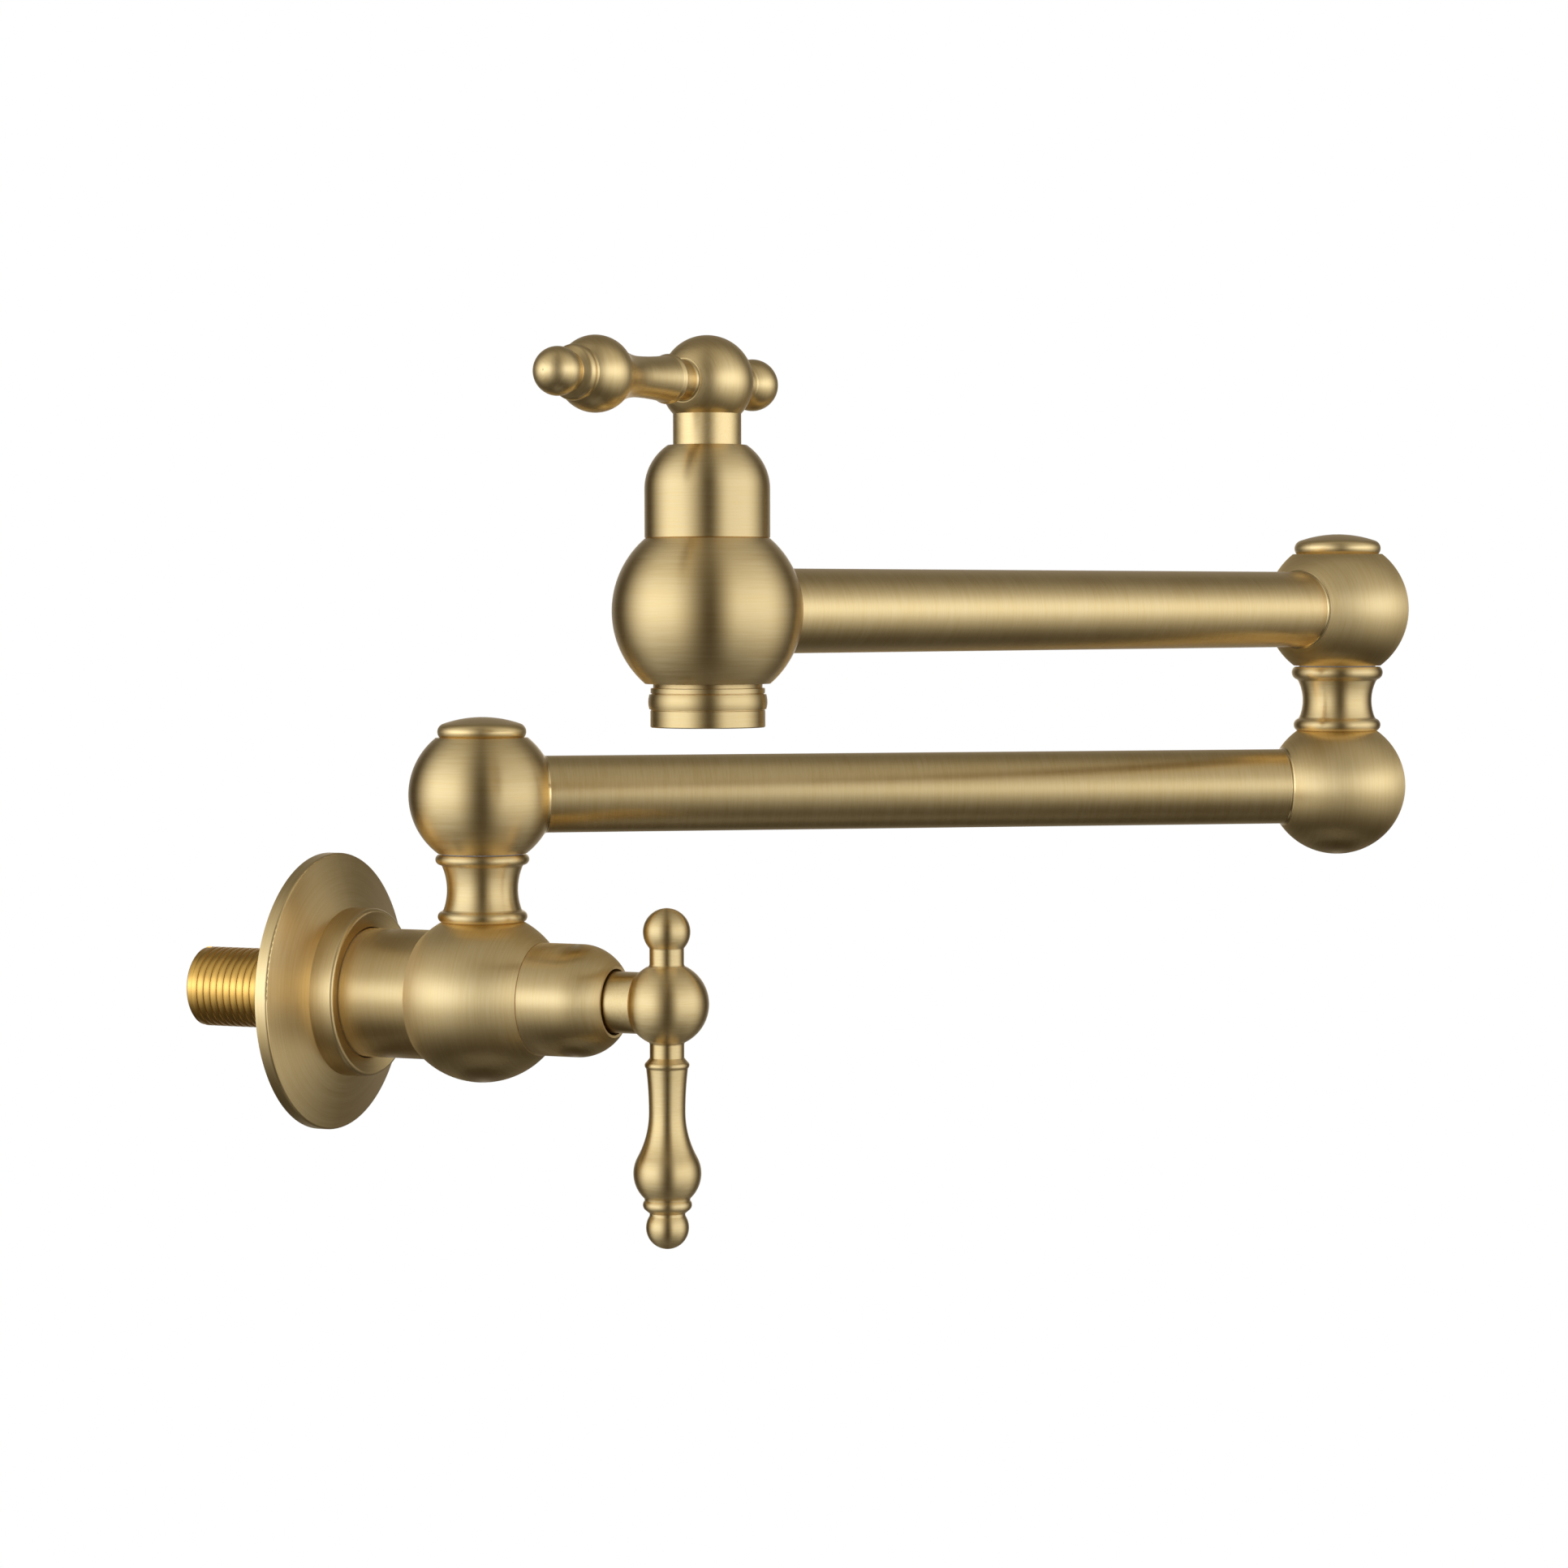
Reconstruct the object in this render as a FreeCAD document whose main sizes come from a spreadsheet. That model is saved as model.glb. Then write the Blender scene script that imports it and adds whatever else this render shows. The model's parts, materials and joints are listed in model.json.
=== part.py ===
import FreeCAD, Part
import math
import operator
import os

import Sketcher
from FreeCAD import Placement, Rotation, Vector

# A wall mounted pot filler: a quarter-turn valve on the wall, a folding arm of two tubes
# on two vertical swivels, and a second quarter-turn valve over the outlet.
#
# Frame: millimetres. The origin is the centre of the flange's back face, on the inlet's axis.
# +X runs right along the wall, +Y into the wall and +Z up.

# ---------------------------------------------------------------- driving sizes

DRIVING_SIZES = (
    # layout
    ("wall_offset", 42.0, "wall face to the first swivel's axis"),
    ("arm_length", 208.6, "swivel axis to swivel axis, and elbow axis to outlet axis"),
    ("lower_arm_angle", -54.6, "way the lower arm points at rest, seen from above"),
    ("upper_arm_angle", 158.1, "way the upper arm points at rest, seen from above"),
    ("outlet_lever_angle", 170.0, "way the outlet's lever points at rest, seen from above"),
    # clearances
    ("seat_play", 0.02, "radial play where one piece is screwed or pressed into another"),
    ("running_play", 0.05, "radial and end play where one piece turns in another"),
    ("swivel_gap", 0.3, "open line between a post's top ring and the ball that turns on it"),
    ("stem_gap", 0.6, "open ring between a bonnet and the handle's stem"),
    ("neck_gap", 0.3, "open ring between the flange's collar and the neck"),
    # inlet nipple
    ("inlet_thread_diameter", 20.955, "half-inch parallel pipe thread, over the crests"),
    ("inlet_tail", 33.3, "length behind the wall face"),
    ("nipple_reach", 14.0, "length in front of the wall face"),
    ("nipple_bore", 6.5, "radius of the waterway"),
    ("nipple_chamfer", 1.0, "lead at both ends of the thread"),
    ("nipple_relief_radius", 9.2, "undercut between the two threads"),
    ("nipple_relief_start", 1.5, "undercut's near edge, in front of the wall face"),
    ("nipple_relief_end", 5.0, "undercut's far edge, in front of the wall face"),
    ("nipple_key_flats", 14.0, "hexagon key socket, across its flats"),
    ("nipple_key_depth", 12.0, "depth of the key socket"),
    ("nipple_washer_thickness", 1.5, "fibre washer at the nipple's inner end"),
    # neck
    ("neck_radius", 15.2, "outside of the neck"),
    ("neck_back", 2.5, "neck's back end, in front of the wall face"),
    ("neck_chamfer", 0.6, "neck's back edge"),
    ("neck_spigot_radius", 9.0, "thread that goes into the valve's ball"),
    ("neck_spigot_length", 4.0, "length of that thread"),
    ("waterway_radius", 5.5, "passage from neck to cartridge, and from cartridge to outlet"),
    # flange
    ("flange_radius", 32.8, "outside of the wall flange"),
    ("flange_rim", 2.5, "straight part of the rim"),
    ("flange_rim_round", 0.55, "round between rim and face"),
    ("flange_rim_inset", 0.42, "how far the round takes the rim in"),
    ("flange_rim_height", 3.05, "where the sloped face starts, in front of the wall"),
    ("collar_radius", 19.9, "outside of the flange's collar"),
    ("collar_root", 6.8, "where the sloped face meets the collar"),
    ("collar_front", 12.9, "collar's front face, in front of the wall"),
    ("collar_round", 0.9, "round on the collar's front edge"),
    ("collar_dish", 1.1, "how far the collar's front face falls back towards the neck"),
    ("flange_wall", 2.2, "thickness of the sloped face"),
    ("gasket_inset", 2.6, "wall gasket's outer edge, inside the flange's"),
    ("gasket_width", 2.9, "wall gasket's width"),
    ("gasket_thickness", 1.5, "wall gasket's thickness"),
    ("flange_ring_section", 1.8, "section of the O-ring that holds the flange on the neck"),
    ("flange_ring_height", 9.5, "that O-ring's middle, in front of the wall"),
    ("flange_groove_width", 2.2, "width of its groove"),
    # valve balls
    ("valve_ball_radius", 20.0, "ball of each valve"),
    ("pocket_radius", 10.6, "cartridge pocket in the ball"),
    ("pocket_floor", 4.0, "pocket's floor, behind the ball's centre"),
    ("port_radius", 4.5, "passage from the pocket to the side port"),
    ("port_start", 9.0, "where that passage starts, inside the pocket"),
    ("outlet_seat_radius", 13.1, "edge of the flat under the outlet's ball"),
    ("outlet_port_shoulder", 9.0, "top of the outlet thread, below the ball's centre"),
    # bonnets
    ("bonnet_radius", 13.1, "outside of each bonnet"),
    ("bonnet_shoulder", 25.4, "where the dome starts, from the ball's centre"),
    ("bonnet_dome_radius", 11.0, "arc of the dome"),
    ("bonnet_lip_radius", 8.3, "edge of the dome at the opening"),
    ("bonnet_thread_radius", 9.5, "thread between bonnet and cartridge"),
    ("bonnet_thread_start", 20.6, "start of that thread"),
    ("bonnet_thread_end", 26.6, "end of that thread"),
    ("bonnet_skirt_bore", 11.4, "bore over the cartridge's hexagon"),
    ("seam_chamfer", 0.25, "small chamfer that makes the line between ball and bonnet"),
    # cartridges
    ("sleeve_radius", 8.5, "cartridge's lower sleeve"),
    ("sleeve_start", 3.0, "sleeve's lower end, behind the ball's centre"),
    ("sleeve_bore", 7.5, "bore that holds the discs"),
    ("sleeve_bore_end", 7.2, "top of that bore"),
    ("sleeve_thread_start", 8.0, "start of the thread in the ball"),
    ("sleeve_top", 26.0, "top of the thread under the bonnet"),
    ("guide_radius", 6.2, "short guide above the thread"),
    ("guide_top", 27.6, "top of the guide"),
    ("hexagon_flats", 19.4, "cartridge's hexagon, across its flats"),
    ("hexagon_thickness", 3.5, "height of the hexagon"),
    ("window_half_width", 3.0, "half the width of the sleeve's windows"),
    ("window_start", 3.8, "lower edge of the windows"),
    ("window_end", 6.8, "upper edge of the windows"),
    ("cartridge_seal_inner", 5.6, "inner radius of the seal under the discs"),
    ("cartridge_seal_outer", 7.3, "outer radius of that seal"),
    ("cartridge_seal_thickness", 1.4, "thickness of that seal"),
    ("disc_radius", 7.42, "ceramic discs"),
    ("disc_thickness", 3.0, "thickness of each disc"),
    ("disc_port_inner", 2.4, "inner radius of the disc's ports"),
    ("disc_port_outer", 6.2, "outer radius of the disc's ports"),
    ("disc_port_half_angle", 40.0, "half the angle of each port"),
    ("disc_slot_depth", 1.0, "slot in the moving disc"),
    # spindles
    ("driver_radius", 7.2, "driver bar's ends"),
    ("driver_half_width", 2.0, "half the driver bar's width"),
    ("spindle_radius", 3.5, "spindle's shank"),
    ("spindle_groove_radius", 2.6, "floor of the spindle's O-ring groove"),
    ("spindle_groove_start", 19.0, "lower edge of that groove"),
    ("spindle_groove_width", 1.2, "width of that groove"),
    ("square_drop", 11.6, "spindle's square, its lower end below the hub's centre"),
    ("square_length", 8.0, "length of the square"),
    ("square_flats", 4.9, "square, across its flats"),
    # handles
    ("hub_radius", 9.7, "ball of the handle's hub"),
    ("hub_height", 47.6, "ball's centre to hub's centre"),
    ("stem_radius", 7.1, "stem under the hub"),
    ("stem_length", 14.8, "lower end of the stem, below the hub's centre"),
    ("hub_seat", 8.3, "flat seats for lever and finial, from the hub's centre"),
    ("stud_radius", 2.5, "stud of lever and finial"),
    ("stud_end", 4.3, "inner end of the studs, from the hub's centre"),
    ("stud_hole_end", 4.0, "inner end of the stud holes"),
    ("screw_radius", 2.0, "clamping screw in the stem"),
    ("screw_drop", 9.0, "that screw, below the hub's centre"),
    ("screw_recess", 0.5, "how far that screw lies under the stem's surface"),
    # lever and finial, from the hub's centre outwards
    ("root_radius", 4.6, "their roots in the hub's seats"),
    ("root_end", 8.56, "end of the root"),
    ("root_round", 0.76, "hollow round between root and neck"),
    ("neck_start", 9.3, "start of the neck"),
    ("lever_neck_radius", 3.96, "neck beside the hub"),
    ("lever_neck_end", 12.3, "end of the neck"),
    ("lever_lip_start", 13.25, "start of the lip"),
    ("lever_lip_start_radius", 4.75, "radius there"),
    ("lever_lip_round", 0.9, "arc of the lip"),
    ("lever_lip_end", 14.58, "end of the lip"),
    ("lever_lip_end_radius", 4.94, "radius there"),
    ("lever_cove_round", 0.7, "small hollow beside the lip"),
    ("lever_cove_end", 14.95, "where that hollow ends"),
    ("lever_cove_radius", 4.78, "radius there"),
    ("lever_waist", 24.8, "waist's place"),
    ("lever_waist_radius", 4.19, "waist's radius"),
    ("bulb_centre", 38.9, "bulb's centre"),
    ("bulb_radius", 7.81, "bulb's radius"),
    ("bulb_end", 44.6, "where the bulb ends"),
    ("bead_start", 45.1, "start of the bead"),
    ("bead_start_radius", 5.2, "radius there"),
    ("bead_end", 47.3, "end of the bead"),
    ("bead_end_radius", 5.08, "radius there"),
    ("bead_round", 1.45, "arc of the bead"),
    ("tip_neck", 48.1, "neck behind the tip's ball"),
    ("tip_neck_radius", 4.1, "radius there"),
    ("tip_centre", 51.4, "tip ball's centre"),
    ("tip_radius", 4.94, "tip ball's radius"),
    ("tip_round", 0.5, "hollow round between neck and tip ball"),
    ("finial_centre", 16.6, "finial ball's centre"),
    ("finial_radius", 5.45, "finial ball's radius"),
    ("finial_round", 0.7, "hollow round between neck and finial ball"),
    # swivel posts
    ("post_foot_radius", 9.65, "edge of the flat that a post stands on"),
    ("riser_height", 15.8, "the lower post, from its foot to its top"),
    ("riser_foot_ring", 2.65, "height of its lower ring"),
    ("riser_top_ring", 2.4, "height of its upper ring"),
    ("elbow_post_height", 15.5, "the elbow's post, from its foot to its top"),
    ("elbow_foot_ring", 2.95, "height of its lower ring"),
    ("elbow_top_ring", 3.05, "height of its upper ring"),
    ("foot_ring_start_radius", 9.5, "lower ring's lower edge"),
    ("foot_ring_end_radius", 9.4, "lower ring's upper edge"),
    ("foot_ring_bulge", 1.02, "how far the lower ring bulges over those edges"),
    ("top_ring_start_radius", 9.7, "upper ring's lower edge"),
    ("top_ring_end_radius", 10.3, "upper ring's upper edge"),
    ("top_ring_bulge", 0.95, "how far the upper ring bulges over those edges"),
    ("ring_step", 0.35, "height of the slope between a ring and the waist"),
    ("waist_start_radius", 9.1, "lower end of the hollow waist"),
    ("waist_end_radius", 9.4, "upper end of the hollow waist"),
    ("waist_depth", 0.95, "how deep the waist is, under the line between its ends"),
    ("post_stud_radius", 7.0, "thread under the post"),
    ("post_stud_length", 5.0, "length of that thread"),
    ("post_bore", 4.5, "waterway in the post"),
    ("post_bore_end", 5.0, "waterway's closed end, above the swivel's centre"),
    ("post_port_radius", 2.8, "cross ports at the swivel's centre"),
    ("pivot_radius", 6.5, "spigot that the ball turns on"),
    ("pivot_ring_section", 1.25, "section of the spigot's O-rings"),
    ("pivot_groove_width", 1.4, "width of their grooves"),
    ("lower_ring_height", 9.5, "lower O-ring, below the swivel's centre"),
    ("upper_ring_height", 7.1, "upper O-ring, above the swivel's centre"),
    ("nut_thread_radius", 5.5, "thread on top of the spigot"),
    ("nut_thickness", 2.2, "retaining nut"),
    ("nut_flats", 14.6, "retaining nut, across its flats"),
    ("pivot_end", 11.8, "spigot's top, above the swivel's centre"),
    ("thrust_washer_outer", 9.2, "thrust washer's outer radius"),
    ("thrust_washer_thickness", 1.2, "thrust washer"),
    # swivel balls
    ("swivel_ball_radius", 17.15, "ball on each swivel"),
    ("swivel_foot", 13.6, "ball's lower face, below its centre"),
    ("swivel_top", 13.35, "ball's upper face, above its centre"),
    ("thrust_recess_radius", 9.4, "recess over the thrust washer"),
    ("chamber_radius", 9.0, "water chamber round the cross ports"),
    ("chamber_floor", 7.0, "chamber's floor, below the centre"),
    ("chamber_top", 5.0, "chamber's top, above the centre"),
    ("nut_shelf", 9.0, "shelf under the nut, above the centre"),
    ("cap_bore", 9.2, "bore for nut and cap"),
    # caps, heights from the swivel's centre
    ("cap_radius", 10.35, "cap's widest part"),
    ("cap_middle", 14.72, "height of the widest part"),
    ("cap_side_arc", 2.0, "arc of the cap's side"),
    ("cap_crown", 18.15, "top of the crown"),
    ("cap_plug_end", 12.2, "lower end of the plug"),
    ("cap_plug_bore", 7.6, "bore in the plug"),
    ("cap_roof", 14.4, "underside of the crown"),
    # tubes
    ("tube_radius", 9.0, "outside of both arm tubes"),
    ("tube_wall", 1.5, "wall of both arm tubes"),
    ("swivel_socket", 11.0, "tube's end, from a swivel ball's centre"),
    ("swivel_passage", 6.0, "passage from tube to chamber"),
    ("swivel_passage_start", 8.0, "where that passage starts"),
    ("outlet_socket", 13.0, "tube's end, from the outlet ball's centre"),
    # elbow's base
    ("elbow_ball_radius", 16.5, "ball under the elbow's post"),
    ("elbow_bore", 6.0, "upright waterway in it"),
    ("elbow_bore_floor", 5.0, "waterway's floor, below the centre"),
    ("elbow_passage_start", 3.0, "where the cross passage starts"),
    # aerator, heights below the outlet ball's centre
    ("aerator_thread_radius", 11.75, "thread into the outlet's ball"),
    ("aerator_washer_thickness", 1.4, "washer above the housing"),
    ("aerator_washer_inner", 8.0, "washer's inner radius"),
    ("aerator_collar_start", 16.0, "top of the collar"),
    ("aerator_collar_end", 20.5, "bottom of the collar"),
    ("aerator_collar_radius", 12.15, "collar's edges"),
    ("aerator_collar_arc", 5.6, "bulge of the collar"),
    ("aerator_skirt_radius", 12.0, "skirt below the collar"),
    ("aerator_skirt_start", 20.7, "top of the skirt"),
    ("aerator_bottom", 24.2, "bottom of the skirt"),
    ("aerator_chamfer", 0.3, "skirt's lower edge"),
    ("aerator_bore", 9.6, "bore for core and screen"),
    ("aerator_lip_radius", 8.8, "opening in the lip"),
    ("aerator_lip_top", 22.4, "ledge that carries the screen"),
    ("screen_thickness", 0.8, "outlet screen"),
    ("screen_hole_radius", 0.8, "holes in the screen"),
    ("screen_pitch", 2.7, "distance between rings of holes"),
    ("core_top", 11.8, "top of the core"),
    ("core_plate", 1.6, "core's top plate"),
    ("core_bore", 7.6, "mixing chamber in the core"),
    ("core_jet_radius", 0.9, "jets in the top plate"),
    ("core_jet_circle", 5.4, "circle of the jets"),
)

doc = FreeCAD.newDocument("PotFiller")
sheet = doc.addObject("Spreadsheet::Sheet", "Sizes")
for row, (alias, number, note) in enumerate(DRIVING_SIZES, start=1):
    sheet.set("A%d" % row, note)
    sheet.set("B%d" % row, str(number))
    sheet.setAlias("B%d" % row, alias)
doc.recompute()


class Size:
    """A number from the sheet, or worked out from it, with the formula that gives it."""

    def __init__(self, number, formula):
        self.number = number
        self.formula = formula

    def __add__(self, other):
        return combined(self, "+", other)

    def __radd__(self, other):
        return combined(other, "+", self)

    def __sub__(self, other):
        return combined(self, "-", other)

    def __rsub__(self, other):
        return combined(other, "-", self)

    def __mul__(self, other):
        return combined(self, "*", other)

    def __rmul__(self, other):
        return combined(other, "*", self)

    def __truediv__(self, other):
        return combined(self, "/", other)

    def __neg__(self):
        return Size(-self.number, "(-%s)" % self.formula)


OPERATIONS = {
    "+": operator.add,
    "-": operator.sub,
    "*": operator.mul,
    "/": operator.truediv,
}


def number_of(size):
    return size.number if isinstance(size, Size) else float(size)


def formula_of(size):
    return size.formula if isinstance(size, Size) else "%.6f" % size


def combined(left, sign, right):
    number = OPERATIONS[sign](number_of(left), number_of(right))
    return Size(number, "(%s %s %s)" % (formula_of(left), sign, formula_of(right)))


def leg(hypotenuse, other_leg):
    """The third side of a right-angled triangle: how far a flat of one radius lies from a ball's centre."""
    number = math.sqrt(number_of(hypotenuse) ** 2 - number_of(other_leg) ** 2)
    return Size(number, "sqrt(%s^2 - %s^2)" % (formula_of(hypotenuse), formula_of(other_leg)))


def arc_of_chord(across, up, depth):
    """Radius of the arc over a chord, from the chord's two legs and the arc's depth."""
    return (across * across + up * up) / 8 / depth + depth / 2


def cosine(degrees):
    return Size(math.cos(math.radians(number_of(degrees))), "cos(%s)" % formula_of(degrees))


def sine(degrees):
    return Size(math.sin(math.radians(number_of(degrees))), "sin(%s)" % formula_of(degrees))


class SheetSizes:
    """Gives each driving size by its alias."""

    def __getattr__(self, alias):
        return Size(float(sheet.get(alias)), "Sizes.%s" % alias)


s = SheetSizes()

# ---------------------------------------------------------------- outlines

LEFT = "left"
RIGHT = "right"
SIGN_OF_SIDE = {LEFT: 1, RIGHT: -1}
SKETCH_AXIS = {"X": -1, "Y": -2}
POINT_ON_EDGE = {"start": 1, "end": 2, "centre": 3}


class Bend:
    """Makes the next edge of an outline an arc of this radius that turns left or right."""

    def __init__(self, radius, side):
        self.radius = radius
        self.side = side


def arc_between(start, end, radius, side):
    """The shorter arc from start to end that turns to the given side."""
    chord = end - start
    middle = start + chord * 0.5
    square = max(radius ** 2 - (chord.Length / 2) ** 2, 0.0)
    left_of_chord = Vector(-chord.y, chord.x, 0).normalize()
    centre = middle + left_of_chord * SIGN_OF_SIDE[side] * math.sqrt(square)
    first, last = (start, end) if side == LEFT else (end, start)
    first_angle = math.atan2(first.y - centre.y, first.x - centre.x)
    last_angle = math.atan2(last.y - centre.y, last.x - centre.x)
    if last_angle < first_angle:
        last_angle += 2 * math.pi
    circle = Part.Circle(centre, Vector(0, 0, 1), radius)
    return Part.ArcOfCircle(circle, first_angle, last_angle)


def hold_coordinate(sketch, kind, axis, geometry, point, size):
    """Ties one coordinate of a point to its formula, or lays the point on the axis."""
    if number_of(size) == 0:
        sketch.addConstraint(Sketcher.Constraint("PointOnObject", geometry, point, axis))
        return
    number = number_of(size)
    index = sketch.addConstraint(Sketcher.Constraint(kind, geometry, point, number))
    sketch.setExpression("Constraints[%d]" % index, formula_of(size))


def hold_point(sketch, geometry, point, corner):
    across, up = corner
    hold_coordinate(sketch, "DistanceX", SKETCH_AXIS["Y"], geometry, point, across)
    hold_coordinate(sketch, "DistanceY", SKETCH_AXIS["X"], geometry, point, up)


def draw_outline(sketch, steps):
    """Draws a closed outline of corners, with straight edges and, after a Bend, arcs."""
    corners = [step for step in steps if not isinstance(step, Bend)]
    bends = {}
    seen = 0
    for step in steps:
        if isinstance(step, Bend):
            bends[seen - 1] = step
        else:
            seen += 1
    edges = []
    forwards = (POINT_ON_EDGE["start"], POINT_ON_EDGE["end"])
    backwards = (POINT_ON_EDGE["end"], POINT_ON_EDGE["start"])
    for index, corner in enumerate(corners):
        following = corners[(index + 1) % len(corners)]
        start = Vector(number_of(corner[0]), number_of(corner[1]), 0)
        end = Vector(number_of(following[0]), number_of(following[1]), 0)
        bend = bends.get(index)
        if bend is None:
            geometry = sketch.addGeometry(Part.LineSegment(start, end))
            edges.append((geometry,) + forwards)
        else:
            arc = arc_between(start, end, number_of(bend.radius), bend.side)
            geometry = sketch.addGeometry(arc)
            edges.append((geometry,) + (forwards if bend.side == LEFT else backwards))
            held = sketch.addConstraint(
                Sketcher.Constraint("Radius", geometry, number_of(bend.radius)))
            sketch.setExpression("Constraints[%d]" % held, formula_of(bend.radius))
    for index, (geometry, start_point, end_point) in enumerate(edges):
        following, following_start, following_end = edges[(index + 1) % len(edges)]
        sketch.addConstraint(Sketcher.Constraint(
            "Coincident", geometry, end_point, following, following_start))
        hold_point(sketch, geometry, start_point, corners[index])


def draw_circle(sketch, centre, radius):
    middle = Vector(number_of(centre[0]), number_of(centre[1]), 0)
    circle = Part.Circle(middle, Vector(0, 0, 1), number_of(radius))
    geometry = sketch.addGeometry(circle)
    held = sketch.addConstraint(Sketcher.Constraint("Radius", geometry, number_of(radius)))
    sketch.setExpression("Constraints[%d]" % held, formula_of(radius))
    hold_point(sketch, geometry, POINT_ON_EDGE["centre"], centre)


def hexagon(flats):
    """Corners of a hexagon, from the distance across its flats."""
    corner_radius = flats / 2 / cosine(30)
    return [(corner_radius * cosine(angle), corner_radius * sine(angle))
            for angle in (30, 90, 150, 210, 270, 330)]


def ring(inner, outer, low, high):
    """Half section of a plain ring about the upright axis."""
    return [(inner, low), (outer, low), (outer, high), (inner, high)]


def rectangle(left, right, low, high):
    return [(left, low), (right, low), (right, high), (left, high)]


# ---------------------------------------------------------------- frames

class Frame:
    """Where a group of pieces stands: its origin, and the turn of its own axes."""

    def __init__(self, origin, rotation):
        self.origin = origin
        self.rotation = rotation

    def turned(self, degrees):
        """The same place, turned about the frame's own upright axis."""
        turn = Rotation(Vector(0, 0, 1), degrees)
        return Frame(self.origin, self.rotation.multiply(turn))

    def raised(self, distance, direction):
        """The same turn, with the origin moved along a world direction."""
        moved = tuple(place + distance * part for place, part in zip(self.origin, direction))
        return Frame(moved, self.rotation)


def upright(origin, degrees):
    return Frame(origin, Rotation(Vector(0, 0, 1), number_of(degrees)))


UP = (0, 0, 1)
OUT = (0, -1, 0)
# upright axis out from the wall, first axis up
FACING_OUT = Rotation(Vector(0, 0, 1), Vector(-1, 0, 0), Vector(0, -1, 0), "ZXY")

# heights that several pieces share
neck_seat = leg(s.valve_ball_radius, s.neck_radius)
bonnet_seat = leg(s.valve_ball_radius, s.bonnet_radius)
outlet_seat = leg(s.valve_ball_radius, s.outlet_seat_radius)
post_seat_on_valve = leg(s.valve_ball_radius, s.post_foot_radius)
post_seat_on_elbow = leg(s.elbow_ball_radius, s.post_foot_radius)
post_top = -(s.swivel_foot + s.swivel_gap)
first_swivel_height = post_seat_on_valve + s.riser_height - post_top
elbow_rise = post_seat_on_elbow + s.elbow_post_height - post_top
elbow_x = s.arm_length * cosine(s.lower_arm_angle)
elbow_y = s.arm_length * sine(s.lower_arm_angle) - s.wall_offset
elbow_top_height = first_swivel_height + elbow_rise
outlet_x = elbow_x + s.arm_length * cosine(s.upper_arm_angle)
outlet_y = elbow_y + s.arm_length * sine(s.upper_arm_angle)

wall_frame = Frame((0, 0, 0), FACING_OUT)
valve_frame = wall_frame.raised(s.wall_offset, OUT)
valve_hub_frame = valve_frame.raised(s.hub_height, OUT).turned(180)
first_swivel_frame = upright((0, -s.wall_offset, first_swivel_height), s.lower_arm_angle)
elbow_base_frame = upright((elbow_x, elbow_y, first_swivel_height), s.lower_arm_angle + 180)
elbow_swivel_frame = upright((elbow_x, elbow_y, elbow_top_height), s.upper_arm_angle)
outlet_frame = upright((outlet_x, outlet_y, elbow_top_height), s.upper_arm_angle + 180)
outlet_hub_frame = upright(
    (outlet_x, outlet_y, elbow_top_height + s.hub_height), s.outlet_lever_angle)
outlet_spindle_frame = upright(outlet_frame.origin, s.outlet_lever_angle)

# ---------------------------------------------------------------- features

sub_parts = []


def new_body(label, frame):
    body = doc.addObject("PartDesign::Body", label)
    body.Label = label
    base = Vector(*[number_of(place) for place in frame.origin])
    body.Placement = Placement(base, frame.rotation)
    for letter, place in zip("xyz", frame.origin):
        if isinstance(place, Size):
            body.setExpression("Placement.Base.%s" % letter, place.formula)
    sub_parts.append(body)
    return body


def origin_plane(body, role):
    return [feature for feature in body.Origin.OriginFeatures if feature.Role == role][0]


def new_sketch(body, role, offset=0):
    """A sketch on one of the body's own planes, moved along the plane's normal."""
    sketch = body.newObject("Sketcher::SketchObject", "Sketch_" + body.Label)
    sketch.AttachmentSupport = (origin_plane(body, role), [""])
    sketch.MapMode = "FlatFace"
    if number_of(offset) != 0:
        sketch.AttachmentOffset = Placement(Vector(0, 0, number_of(offset)), Rotation())
        sketch.setExpression("AttachmentOffset.Base.z", formula_of(offset))
    return sketch


def revolve(body, outline, axis="V_Axis"):
    """Turns an outline about the sketch's upright (V) or level (H) axis."""
    sketch = new_sketch(body, "XZ_Plane")
    draw_outline(sketch, outline)
    feature = body.newObject("PartDesign::Revolution", "Turned_" + body.Label)
    feature.Profile = sketch
    feature.ReferenceAxis = (sketch, [axis])
    feature.Angle = 360
    return feature


def groove(body, outline, axis="H_Axis", plane="XZ_Plane"):
    """Cuts an outline turned about one of the sketch's axes."""
    sketch = new_sketch(body, plane)
    draw_outline(sketch, outline)
    feature = body.newObject("PartDesign::Groove", "Bore_" + body.Label)
    feature.Profile = sketch
    feature.ReferenceAxis = (sketch, [axis])
    feature.Angle = 360
    return feature


def pad(body, sketch, length):
    feature = body.newObject("PartDesign::Pad", "Pad_" + body.Label)
    feature.Profile = sketch
    feature.Length = number_of(length)
    feature.setExpression("Length", formula_of(length))
    return feature


def pocket(body, sketch, length):
    """Cuts back from the sketch, against its normal."""
    feature = body.newObject("PartDesign::Pocket", "Pocket_" + body.Label)
    feature.Profile = sketch
    feature.Length = number_of(length)
    feature.setExpression("Length", formula_of(length))
    return feature


def pocket_both_ways(body, sketch, length):
    """Cuts the same distance to both sides of the sketch."""
    feature = pocket(body, sketch, length)
    feature.Midplane = True
    return feature


# ---------------------------------------------------------------- plain rings

def plain_ring(label, frame, inner, outer, low, high):
    body = new_body(label, frame)
    revolve(body, ring(inner, outer, low, high))
    return body


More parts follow.
